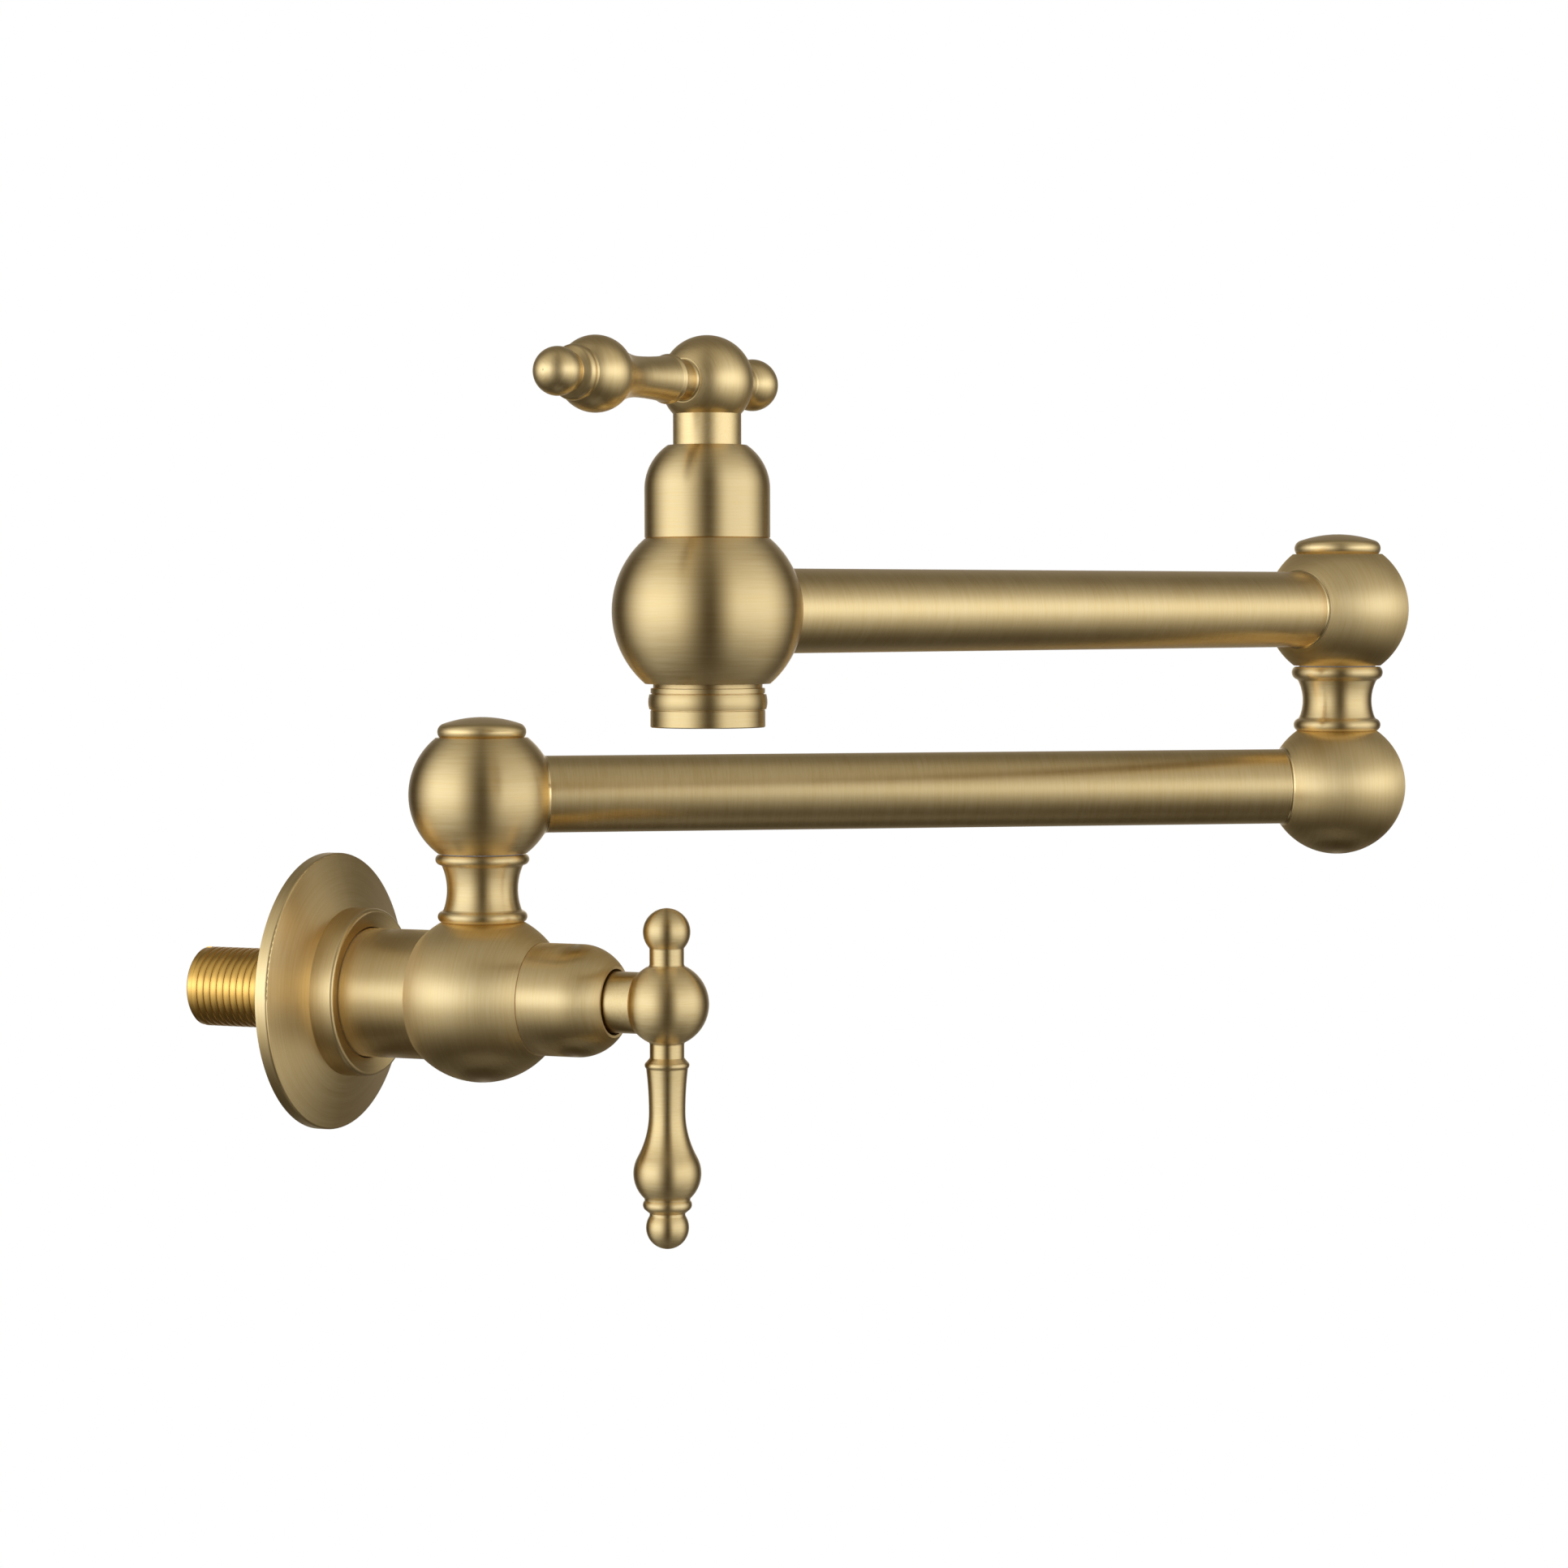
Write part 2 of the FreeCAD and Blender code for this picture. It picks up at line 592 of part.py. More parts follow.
def o_rings(label, frame, inner, section, heights):
    """One or more O-rings on one shaft."""
    body = new_body(label, frame)
    sketch = new_sketch(body, "XZ_Plane")
    for height in heights:
        draw_circle(sketch, (inner + section / 2, height), section / 2)
    feature = body.newObject("PartDesign::Revolution", "Turned_" + label)
    feature.Profile = sketch
    feature.ReferenceAxis = (sketch, ["V_Axis"])
    feature.Angle = 360
    return body


# ---------------------------------------------------------------- inlet and wall flange

thread_radius = s.inlet_thread_diameter / 2
gasket_outer = s.flange_radius - s.gasket_inset
gasket_inner = gasket_outer - s.gasket_width
nipple_shoulder = s.nipple_reach + s.nipple_washer_thickness


def inlet_nipple():
    """The threaded tail that screws into the wall's fitting, with a key socket in its end."""
    body = new_body("inlet_nipple", wall_frame)
    chamfered = thread_radius - s.nipple_chamfer
    revolve(body, [
        (s.nipple_bore, -s.inlet_tail),
        (chamfered, -s.inlet_tail),
        (thread_radius, s.nipple_chamfer - s.inlet_tail),
        (thread_radius, s.nipple_relief_start),
        (s.nipple_relief_radius, s.nipple_relief_start),
        (s.nipple_relief_radius, s.nipple_relief_end),
        (thread_radius, s.nipple_relief_end),
        (thread_radius, s.nipple_reach - s.nipple_chamfer),
        (chamfered, s.nipple_reach),
        (s.nipple_bore, s.nipple_reach),
    ])
    key = new_sketch(body, "XY_Plane", s.nipple_key_depth - s.inlet_tail)
    draw_outline(key, hexagon(s.nipple_key_flats))
    pocket(body, key, s.nipple_key_depth)


def inlet_neck():
    """The tube between flange and valve: the nipple screws into its back end."""
    body = new_body("inlet_neck", wall_frame)
    thread_bore = thread_radius + s.seat_play
    seat = s.wall_offset - neck_seat
    revolve(body, [
        (thread_bore, s.neck_back),
        (s.neck_radius - s.neck_chamfer, s.neck_back),
        (s.neck_radius, s.neck_back + s.neck_chamfer),
        (s.neck_radius, seat),
        (s.neck_spigot_radius, seat),
        (s.neck_spigot_radius, seat + s.neck_spigot_length),
        (s.waterway_radius, seat + s.neck_spigot_length),
        (s.waterway_radius, nipple_shoulder),
        (thread_bore, nipple_shoulder),
    ])


def wall_flange():
    """The cover plate: rim, shallow cone and collar, hollow behind, with two grooves for seals."""
    body = new_body("wall_flange", wall_frame)
    bore = s.neck_radius + s.neck_gap
    face_edge = s.flange_radius - s.flange_rim_inset
    groove_floor = s.neck_radius + s.flange_ring_section + s.seat_play
    half_groove = s.flange_groove_width / 2
    boss_back = s.collar_root - s.flange_wall
    revolve(body, [
        (gasket_outer, 0),
        (s.flange_radius, 0),
        (s.flange_radius, s.flange_rim),
        Bend(s.flange_rim_round, LEFT),
        (face_edge, s.flange_rim_height),
        (s.collar_radius, s.collar_root),
        (s.collar_radius, s.collar_front - s.collar_round),
        Bend(s.collar_round, LEFT),
        (s.collar_radius - s.collar_round, s.collar_front),
        (bore, s.collar_front - s.collar_dish),
        (bore, s.flange_ring_height + half_groove),
        (groove_floor, s.flange_ring_height + half_groove),
        (groove_floor, s.flange_ring_height - half_groove),
        (bore, s.flange_ring_height - half_groove),
        (bore, boss_back),
        (s.collar_radius, boss_back),
        (gasket_inner, s.flange_rim_height - s.flange_rim_round),
        (gasket_inner, s.gasket_thickness),
        (gasket_outer, s.gasket_thickness),
    ])


inlet_nipple()
plain_ring("nipple_washer", wall_frame, s.nipple_bore, thread_radius,
           s.nipple_reach, nipple_shoulder)
inlet_neck()
wall_flange()
plain_ring("wall_gasket", wall_frame, gasket_inner, gasket_outer - s.seat_play,
           0, s.gasket_thickness)
o_rings("flange_o_ring", wall_frame, s.neck_radius, s.flange_ring_section,
        [s.flange_ring_height])

# ---------------------------------------------------------------- valves

seal_top = s.cartridge_seal_thickness - s.pocket_floor
fixed_disc_top = seal_top + s.disc_thickness
moving_disc_top = fixed_disc_top + s.disc_thickness
square_start = s.hub_height - s.square_drop


def valve_ball(label, frame, lower_edge, lower_port, side_port):
    """A ball with the cartridge pocket on its axis, a port opposite and a port to the side."""
    body = new_body(label, frame)
    edge_radius, edge_depth = lower_edge
    port_radius, port_end = lower_port
    revolve(body, [
        (port_radius, -edge_depth),
        (edge_radius, -edge_depth),
        Bend(s.valve_ball_radius, LEFT),
        (s.bonnet_radius, bonnet_seat),
        (s.pocket_radius, bonnet_seat),
        (s.pocket_radius, -s.pocket_floor),
        (s.waterway_radius, -s.pocket_floor),
        (s.waterway_radius, -port_end),
        (port_radius, -port_end),
    ])
    groove(body, side_port)


def post_port():
    """Side port for a post: a flat, a threaded hole and the passage to the pocket."""
    hole = s.post_stud_radius + s.seat_play
    floor = post_seat_on_valve - s.post_stud_length
    outside = s.valve_ball_radius + s.post_foot_radius
    return [
        (s.port_start, 0),
        (s.port_start, s.port_radius),
        (floor, s.port_radius),
        (floor, hole),
        (post_seat_on_valve, hole),
        (post_seat_on_valve, s.bonnet_radius),
        (outside, s.bonnet_radius),
        (outside, 0),
    ]


def tube_port(passage_start, passage, socket, ball_radius):
    """Side port for an arm tube: a socket and the passage behind it."""
    outside = ball_radius + s.tube_radius
    hole = s.tube_radius + s.seat_play
    return [
        (passage_start, 0),
        (passage_start, passage),
        (socket, passage),
        (socket, hole),
        (outside, hole),
        (outside, 0),
    ]


def bonnet(label, frame):
    """The domed cover over a cartridge, screwed onto the cartridge's own thread."""
    body = new_body(label, frame)
    opening = s.stem_radius + s.stem_gap
    dome_drop = s.bonnet_dome_radius - (s.bonnet_radius - s.bonnet_lip_radius)
    dome_top = s.bonnet_shoulder + leg(s.bonnet_dome_radius, dome_drop)
    thread_bore = s.bonnet_thread_radius + s.seat_play
    revolve(body, [
        (s.bonnet_skirt_bore, bonnet_seat),
        (s.bonnet_radius - s.seam_chamfer, bonnet_seat),
        (s.bonnet_radius, bonnet_seat + s.seam_chamfer),
        (s.bonnet_radius, s.bonnet_shoulder),
        Bend(s.bonnet_dome_radius, LEFT),
        (s.bonnet_lip_radius, dome_top),
        (opening, dome_top),
        (opening, s.bonnet_thread_end),
        (thread_bore, s.bonnet_thread_end),
        (thread_bore, s.bonnet_thread_start),
        (s.bonnet_skirt_bore, s.bonnet_thread_start),
    ])


def cartridge_sleeve(label, frame):
    """The cartridge's brass body: disc sleeve with windows, thread, hexagon and spindle guide."""
    body = new_body(label, frame)
    thread = s.pocket_radius - s.seat_play
    spindle_bore = s.spindle_radius + s.running_play
    revolve(body, [
        (s.sleeve_bore, -s.sleeve_start),
        (s.sleeve_radius, -s.sleeve_start),
        (s.sleeve_radius, s.sleeve_thread_start),
        (thread, s.sleeve_thread_start),
        (thread, bonnet_seat),
        (s.bonnet_thread_radius, bonnet_seat),
        (s.bonnet_thread_radius, s.sleeve_top),
        (s.guide_radius, s.sleeve_top),
        (s.guide_radius, s.guide_top),
        (spindle_bore, s.guide_top),
        (spindle_bore, s.sleeve_bore_end),
        (s.sleeve_bore, s.sleeve_bore_end),
    ])
    nut = new_sketch(body, "XY_Plane", bonnet_seat)
    draw_outline(nut, hexagon(s.hexagon_flats))
    draw_circle(nut, (0, 0), s.sleeve_radius)
    pad(body, nut, s.hexagon_thickness)
    window = new_sketch(body, "XZ_Plane")
    draw_outline(window, rectangle(
        -s.window_half_width, s.window_half_width, s.window_start, s.window_end))
    pocket_both_ways(body, window, 2 * s.pocket_radius)


def disc_port(turn):
    """A ring sector that lets water through a ceramic disc."""
    first = turn - s.disc_port_half_angle
    last = turn + s.disc_port_half_angle
    return [
        (s.disc_port_inner * cosine(first), s.disc_port_inner * sine(first)),
        (s.disc_port_outer * cosine(first), s.disc_port_outer * sine(first)),
        Bend(s.disc_port_outer, LEFT),
        (s.disc_port_outer * cosine(last), s.disc_port_outer * sine(last)),
        (s.disc_port_inner * cosine(last), s.disc_port_inner * sine(last)),
        Bend(s.disc_port_inner, RIGHT),
    ]


def ceramic_disc(label, frame, low, port_turns):
    body = new_body(label, frame)
    face = new_sketch(body, "XY_Plane", low)
    draw_circle(face, (0, 0), s.disc_radius)
    for turn in port_turns:
        draw_outline(face, disc_port(turn))
    pad(body, face, s.disc_thickness)
    return body


def driver_outline(half_width, radius):
    """A bar with round ends, centred on the axis."""
    half_length = leg(radius, half_width)
    return [
        (half_length, -half_width),
        Bend(radius, LEFT),
        (half_length, half_width),
        (-half_length, half_width),
        Bend(radius, LEFT),
        (-half_length, -half_width),
    ]


def moving_disc(label, frame):
    """The disc that turns with the spindle: a slot in its top takes the driver bar."""
    body = ceramic_disc(label, frame, fixed_disc_top, (90, 270))
    slot = new_sketch(body, "XY_Plane", moving_disc_top)
    half_width = s.driver_half_width + s.running_play
    draw_outline(slot, rectangle(-s.disc_radius, s.disc_radius, -half_width, half_width))
    pocket(body, slot, s.disc_slot_depth)


def spindle(label, frame):
    """Driver bar, shank with an O-ring groove, and a square that the handle sits on."""
    body = new_body(label, frame)
    driver_low = moving_disc_top - s.disc_slot_depth
    groove_end = s.spindle_groove_start + s.spindle_groove_width
    revolve(body, [
        (0, driver_low),
        (s.driver_half_width, driver_low),
        (s.driver_half_width, moving_disc_top),
        (s.spindle_radius, moving_disc_top),
        (s.spindle_radius, s.spindle_groove_start),
        (s.spindle_groove_radius, s.spindle_groove_start),
        (s.spindle_groove_radius, groove_end),
        (s.spindle_radius, groove_end),
        (s.spindle_radius, square_start),
        (0, square_start),
    ])
    bar = new_sketch(body, "XY_Plane", driver_low)
    draw_outline(bar, driver_outline(s.driver_half_width, s.driver_radius))
    pad(body, bar, s.sleeve_bore_end - s.running_play - driver_low)
    square = new_sketch(body, "XY_Plane", square_start)
    half = s.square_flats / 2
    draw_outline(square, rectangle(-half, half, -half, half))
    pad(body, square, s.square_length)


def handle_hub(label, frame, screw_side):
    """Stem and ball in one: a square socket below, and seats for lever and finial."""
    body = new_body(label, frame)
    stem_high = -leg(s.hub_radius, s.stem_radius)
    shank_bore = s.spindle_radius + s.stem_gap
    revolve(body, [
        (shank_bore, -s.stem_length),
        (s.stem_radius, -s.stem_length),
        (s.stem_radius, stem_high),
        Bend(s.hub_radius, LEFT),
        (0, s.hub_radius),
        (0, -s.square_drop),
        (shank_bore, -s.square_drop),
    ])
    half = s.square_flats / 2 + s.seat_play
    socket = new_sketch(body, "XY_Plane", s.square_length - s.square_drop)
    draw_outline(socket, rectangle(-half, half, -half, half))
    pocket(body, socket, s.square_length)
    for side in (1, -1):
        groove(body, [
            (side * s.stud_hole_end, 0),
            (side * s.stud_hole_end, s.stud_radius + s.seat_play),
            (side * s.hub_seat, s.stud_radius + s.seat_play),
            (side * s.hub_seat, s.root_radius + s.seat_play),
            (side * (s.hub_radius + s.stud_radius), s.root_radius + s.seat_play),
            (side * (s.hub_radius + s.stud_radius), 0),
        ])
    # the clamping screw's hole: the sketch plane faces -Y, and the cut runs towards +Y
    hole_start = 0 if screw_side > 0 else s.stem_radius
    hole = new_sketch(body, "XZ_Plane", hole_start)
    draw_circle(hole, (0, -s.screw_drop), s.screw_radius + s.seat_play)
    pocket(body, hole, s.stem_radius)


def rooted_neck():
    """The stud, root and neck's start that lever and finial share."""
    return [
        (s.stud_end, 0),
        (s.stud_end, s.stud_radius),
        (s.hub_seat, s.stud_radius),
        (s.hub_seat, s.root_radius),
        (s.root_end, s.root_radius),
        Bend(s.root_round, LEFT),
        (s.neck_start, s.lever_neck_radius),
    ]


def ball_on_neck(centre, ball, neck, hollow):
    """A neck that runs into a ball at its end through a small hollow round."""
    reach = leg(ball + hollow, neck + hollow)
    share = ball / (ball + hollow)
    return [
        (centre - reach, neck),
        Bend(hollow, LEFT),
        (centre - reach * share, (neck + hollow) * share),
        Bend(ball, RIGHT),
        (centre + ball, 0),
    ]


def lever(label, frame):
    """The turned lever: neck, lip, hollow waist, bulb, bead and tip ball, and its stud."""
    body = new_body(label, frame)
    taper = s.lever_waist - s.lever_cove_end
    taper_drop = s.lever_cove_radius - s.lever_waist_radius
    taper_arc = (taper * taper + taper_drop * taper_drop) / 2 / taper_drop
    # the flare's arc is level at the waist and touches the bulb's circle
    flare = s.bulb_centre - s.lever_waist
    squares = (flare * flare + s.lever_waist_radius * s.lever_waist_radius
               - s.bulb_radius * s.bulb_radius)
    flare_arc = squares / 2 / (s.bulb_radius - s.lever_waist_radius)
    share = s.bulb_radius / (flare_arc + s.bulb_radius)
    revolve(body, rooted_neck() + [
        (s.lever_neck_end, s.lever_neck_radius),
        (s.lever_lip_start, s.lever_lip_start_radius),
        Bend(s.lever_lip_round, RIGHT),
        (s.lever_lip_end, s.lever_lip_end_radius),
        Bend(s.lever_cove_round, LEFT),
        (s.lever_cove_end, s.lever_cove_radius),
        Bend(taper_arc, LEFT),
        (s.lever_waist, s.lever_waist_radius),
        Bend(flare_arc, LEFT),
        (s.bulb_centre - flare * share, (flare_arc + s.lever_waist_radius) * share),
        Bend(s.bulb_radius, RIGHT),
        (s.bulb_end, leg(s.bulb_radius, s.bulb_end - s.bulb_centre)),
        (s.bead_start, s.bead_start_radius),
        Bend(s.bead_round, RIGHT),
        (s.bead_end, s.bead_end_radius),
        (s.tip_neck, s.tip_neck_radius),
        *ball_on_neck(s.tip_centre, s.tip_radius, s.tip_neck_radius, s.tip_round),
    ], "H_Axis")


def lever_finial(label, frame):
    """The small ball on a neck, opposite the lever."""
    body = new_body(label, frame)
    revolve(body, rooted_neck() + ball_on_neck(
        s.finial_centre, s.finial_radius, s.lever_neck_radius, s.finial_round), "H_Axis")


def handle_screw(label, frame, screw_side):
    """The screw through the stem that clamps the square; its sketch plane faces -Y."""
    body = new_body(label, frame)
    inner = s.square_flats / 2 + s.seat_play
    outer = s.stem_radius - s.screw_recess
    start = -outer if screw_side > 0 else inner
    face = new_sketch(body, "XZ_Plane", start)
    draw_circle(face, (0, -s.screw_drop), s.screw_radius)
    pad(body, face, outer - inner)


def valve_set(prefix, frame, spindle_frame, hub_frame, screw_side):
    """Everything that both valves share, from the seal under the discs to the lever's tip."""
    plain_ring(prefix + "_cartridge_seal", frame, s.cartridge_seal_inner,
               s.cartridge_seal_outer, -s.pocket_floor, seal_top)
    ceramic_disc(prefix + "_fixed_disc", frame, seal_top, (0, 180))
    cartridge_sleeve(prefix + "_cartridge_sleeve", frame)
    bonnet(prefix + "_bonnet", frame)
    moving_disc(prefix + "_moving_disc", spindle_frame)
    spindle(prefix + "_spindle", spindle_frame)
    ring_section = s.spindle_radius + s.running_play / 2 - s.spindle_groove_radius
    o_rings(prefix + "_spindle_o_ring", spindle_frame, s.spindle_groove_radius, ring_section,
            [s.spindle_groove_start + s.spindle_groove_width / 2])
    handle_hub(prefix + "_handle_hub", hub_frame, screw_side)
    lever(prefix + "_lever", hub_frame)
    lever_finial(prefix + "_lever_finial", hub_frame.turned(180))
    handle_screw(prefix + "_handle_screw", hub_frame, screw_side)


valve_ball("valve_body", valve_frame, (s.neck_radius, neck_seat),
           (s.neck_spigot_radius + s.seat_play, neck_seat - s.neck_spigot_length),
           post_port())
valve_set("valve", valve_frame, valve_frame.turned(180), valve_hub_frame, 1)

valve_ball("outlet_body", outlet_frame, (s.outlet_seat_radius, outlet_seat),
           (s.aerator_thread_radius + s.seat_play, s.outlet_port_shoulder),
           tube_port(s.port_start, s.port_radius, s.outlet_socket, s.valve_ball_radius))
valve_set("outlet", outlet_frame, outlet_spindle_frame, outlet_hub_frame, -1)

# ---------------------------------------------------------------- swivels

pivot_bore = s.pivot_radius + s.running_play
pivot_groove_floor = pivot_bore - s.running_play / 2 - s.pivot_ring_section
washer_top = post_top + s.thrust_washer_thickness
nut_seat = s.nut_shelf + s.running_play


def pivot_groove(middle):
    """The two edges and the floor of an O-ring groove in the pivot."""
    half = s.pivot_groove_width / 2
    return [
        (s.pivot_radius, middle - half),
        (pivot_groove_floor, middle - half),
        (pivot_groove_floor, middle + half),
        (s.pivot_radius, middle + half),
    ]


def swivel_post(label, frame, height, foot_ring, top_ring):
    """The turned post and, above it, the hollow pivot with cross ports that the ball turns on."""
    body = new_body(label, frame)
    post_foot = post_top - height
    stud_end = post_foot - s.post_stud_length
    foot_ring_arc = arc_of_chord(
        s.foot_ring_start_radius - s.foot_ring_end_radius, foot_ring, s.foot_ring_bulge)
    top_ring_arc = arc_of_chord(
        s.top_ring_end_radius - s.top_ring_start_radius, top_ring, s.top_ring_bulge)
    waist_start = post_foot + foot_ring + s.ring_step
    waist_end = post_top - top_ring - s.ring_step
    waist_arc = arc_of_chord(
        s.waist_end_radius - s.waist_start_radius, waist_end - waist_start, s.waist_depth)
    revolve(body, [
        (s.post_bore, stud_end),
        (s.post_stud_radius, stud_end),
        (s.post_stud_radius, post_foot),
        (s.foot_ring_start_radius, post_foot),
        Bend(foot_ring_arc, LEFT),
        (s.foot_ring_end_radius, post_foot + foot_ring),
        (s.waist_start_radius, waist_start),
        Bend(waist_arc, RIGHT),
        (s.waist_end_radius, waist_end),
        (s.top_ring_start_radius, post_top - top_ring),
        Bend(top_ring_arc, LEFT),
        (s.top_ring_end_radius, post_top),
        (s.pivot_radius, post_top),
        *pivot_groove(-s.lower_ring_height),
        *pivot_groove(s.upper_ring_height),
        (s.pivot_radius, nut_seat),
        (s.nut_thread_radius, nut_seat),
        (s.nut_thread_radius, s.pivot_end),
        (0, s.pivot_end),
        (0, s.post_bore_end),
        (s.post_bore, s.post_bore_end),
    ])
    for plane in ("XZ_Plane", "YZ_Plane"):
        groove(body, [
            (-s.chamber_radius, 0),
            (-s.chamber_radius, s.post_port_radius),
            (s.chamber_radius, s.post_port_radius),
            (s.chamber_radius, 0),
        ], "H_Axis", plane)


def swivel_nut(label, frame):
    """The hexagon nut that keeps the ball on its pivot."""
    body = new_body(label, frame)
    face = new_sketch(body, "XY_Plane", nut_seat)
    draw_outline(face, hexagon(s.nut_flats))
    draw_circle(face, (0, 0), s.nut_thread_radius + s.seat_play)
    pad(body, face, s.nut_thickness)


def swivel_ball(label, frame):
    """The ball that turns on a pivot: two bearings, a water chamber and the tube's socket."""
    body = new_body(label, frame)
    recess_top = washer_top + s.running_play
    revolve(body, [
        (s.thrust_recess_radius, -s.swivel_foot),
        (leg(s.swivel_ball_radius, s.swivel_foot), -s.swivel_foot),
        Bend(s.swivel_ball_radius, LEFT),
        (leg(s.swivel_ball_radius, s.swivel_top), s.swivel_top),
        (s.cap_bore, s.swivel_top),
        (s.cap_bore, s.nut_shelf),
        (pivot_bore, s.nut_shelf),
        (pivot_bore, s.chamber_top),
        (s.chamber_radius, s.chamber_top),
        (s.chamber_radius, -s.chamber_floor),
        (pivot_bore, -s.chamber_floor),
        (pivot_bore, recess_top),
        (s.thrust_recess_radius, recess_top),
    ])
    groove(body, tube_port(s.swivel_passage_start, s.swivel_passage, s.swivel_socket,
                           s.swivel_ball_radius))


def swivel_cap(label, frame):
    """The crowned cap that closes a swivel ball."""
    body = new_body(label, frame)
    plug_radius = s.cap_bore - s.seat_play
    # the crown's arc touches the side's circle from outside it
    side_centre = s.cap_radius - s.cap_side_arc
    rise = s.cap_crown - s.cap_middle
    squares = side_centre * side_centre + rise * rise - s.cap_side_arc * s.cap_side_arc
    crown_arc = squares / 2 / (rise - s.cap_side_arc)
    share = s.cap_side_arc / (crown_arc - s.cap_side_arc)
    edge_radius = side_centre + leg(s.cap_side_arc, s.cap_middle - s.swivel_top)
    revolve(body, [
        (s.cap_plug_bore, s.cap_plug_end),
        (plug_radius, s.cap_plug_end),
        (plug_radius, s.swivel_top),
        (edge_radius, s.swivel_top),
        Bend(s.cap_side_arc, LEFT),
        (side_centre * (1 + share), s.cap_middle + (crown_arc - rise) * share),
        Bend(crown_arc, LEFT),
        (0, s.cap_crown),
        (0, s.cap_roof),
        (s.cap_plug_bore, s.cap_roof),
    ])


def swivel(post_prefix, post_frame, post_sizes, ball_prefix, ball_frame):
    """A post with everything on its pivot; post_sizes holds its height and its rings' heights."""
    swivel_post(post_prefix + "_post", post_frame, *post_sizes)
    o_rings(post_prefix + "_o_rings", post_frame, pivot_groove_floor, s.pivot_ring_section,
            [-s.lower_ring_height, s.upper_ring_height])
    plain_ring(post_prefix + "_thrust_washer", post_frame, s.pivot_radius + s.seat_play,
               s.thrust_washer_outer, post_top, washer_top)
    swivel_nut(post_prefix + "_nut", post_frame)
    swivel_ball(ball_prefix + "_swivel_ball", ball_frame)
    swivel_cap(ball_prefix + "_swivel_cap", ball_frame)


swivel("riser", upright(first_swivel_frame.origin, 0),
       (s.riser_height, s.riser_foot_ring, s.riser_top_ring), "lower", first_swivel_frame)
swivel("elbow", upright(elbow_swivel_frame.origin, s.lower_arm_angle),
       (s.elbow_post_height, s.elbow_foot_ring, s.elbow_top_ring), "upper", elbow_swivel_frame)

# ---------------------------------------------------------------- arms

def arm_tube(label, frame, far_socket):
    """A straight tube from the socket in a swivel ball to the socket at the arm's far end."""
    body = new_body(label, frame)
    far_end = s.arm_length - far_socket
    bore = s.tube_radius - s.tube_wall
    revolve(body, rectangle(s.swivel_socket, far_end, bore, s.tube_radius), "H_Axis")


def elbow_base_ball():
    """The ball at the lower arm's far end, closed below, with the elbow's post on top."""
    body = new_body("elbow_base_ball", elbow_base_frame)
    hole = s.post_stud_radius + s.seat_play
    hole_floor = post_seat_on_elbow - s.post_stud_length
    revolve(body, [
        (0, -s.elbow_ball_radius),
        Bend(s.elbow_ball_radius, LEFT),
        (s.post_foot_radius, post_seat_on_elbow),
        (hole, post_seat_on_elbow),
        (hole, hole_floor),
        (s.elbow_bore, hole_floor),
        (s.elbow_bore, -s.elbow_bore_floor),
        (0, -s.elbow_bore_floor),
    ])
    groove(body, tube_port(s.elbow_passage_start, s.swivel_passage, s.swivel_socket,
                           s.elbow_ball_radius))


arm_tube("lower_arm_tube", first_swivel_frame, s.swivel_socket)
elbow_base_ball()
arm_tube("upper_arm_tube", elbow_swivel_frame, s.outlet_socket)

# ---------------------------------------------------------------- aerator

aerator_top = -(s.outlet_port_shoulder + s.aerator_washer_thickness)
screen_top = s.screen_thickness - s.aerator_lip_top


def aerator_housing():
    """The screwed ring under the outlet: thread, bulged collar, skirt and inner lip."""
    body = new_body("aerator_housing", outlet_frame)
    collar_middle_top = s.aerator_chamfer + s.aerator_collar_start
    revolve(body, [
        (s.aerator_lip_radius, -s.aerator_bottom),
        (s.aerator_skirt_radius - s.aerator_chamfer, -s.aerator_bottom),
        (s.aerator_skirt_radius, s.aerator_chamfer - s.aerator_bottom),
        (s.aerator_skirt_radius, -s.aerator_skirt_start),
        (s.aerator_collar_radius, -s.aerator_collar_end),
        Bend(s.aerator_collar_arc, LEFT),
        (s.aerator_collar_radius, -collar_middle_top),
        (s.aerator_thread_radius, -s.aerator_collar_start),
        (s.aerator_thread_radius, aerator_top),
        (s.aerator_bore, aerator_top),
        (s.aerator_bore, -s.aerator_lip_top),
        (s.aerator_lip_radius, -s.aerator_lip_top),
    ])


def aerator_screen():
    """The perforated disc that the water leaves through: rings of six and twelve holes."""
    body = new_body("aerator_screen", outlet_frame)
    face = new_sketch(body, "XY_Plane", -s.aerator_lip_top)
    draw_circle(face, (0, 0), s.aerator_bore - s.seat_play)
    draw_circle(face, (0, 0), s.screen_hole_radius)
    for ring_number, holes in ((1, 6), (2, 12)):
        for index in range(holes):
            angle = 360 * index / holes
            reach = s.screen_pitch * ring_number
            draw_circle(face, (reach * cosine(angle), reach * sine(angle)),
                        s.screen_hole_radius)
    pad(body, face, s.screen_thickness)


def aerator_core():
    """The plastic core on the screen: a mixing chamber under a plate with jets."""
    body = new_body("aerator_core", outlet_frame)
    plate_low = -s.core_top - s.core_plate
    outside = s.aerator_bore - s.seat_play
    revolve(body, [
        (s.core_bore, screen_top),
        (outside, screen_top),
        (outside, -s.core_top),
        (0, -s.core_top),
        (0, plate_low),
        (s.core_bore, plate_low),
    ])
    jet = new_sketch(body, "XY_Plane", -s.core_top)
    draw_circle(jet, (s.core_jet_circle, 0), s.core_jet_radius)
    first_jet = pocket(body, jet, s.core_plate)
    pattern = body.newObject("PartDesign::PolarPattern", "Jets_aerator_core")
    pattern.Originals = [first_jet]
    pattern.Axis = (jet, ["N_Axis"])
    pattern.Angle = 360
    pattern.Occurrences = 8
    body.Tip = pattern


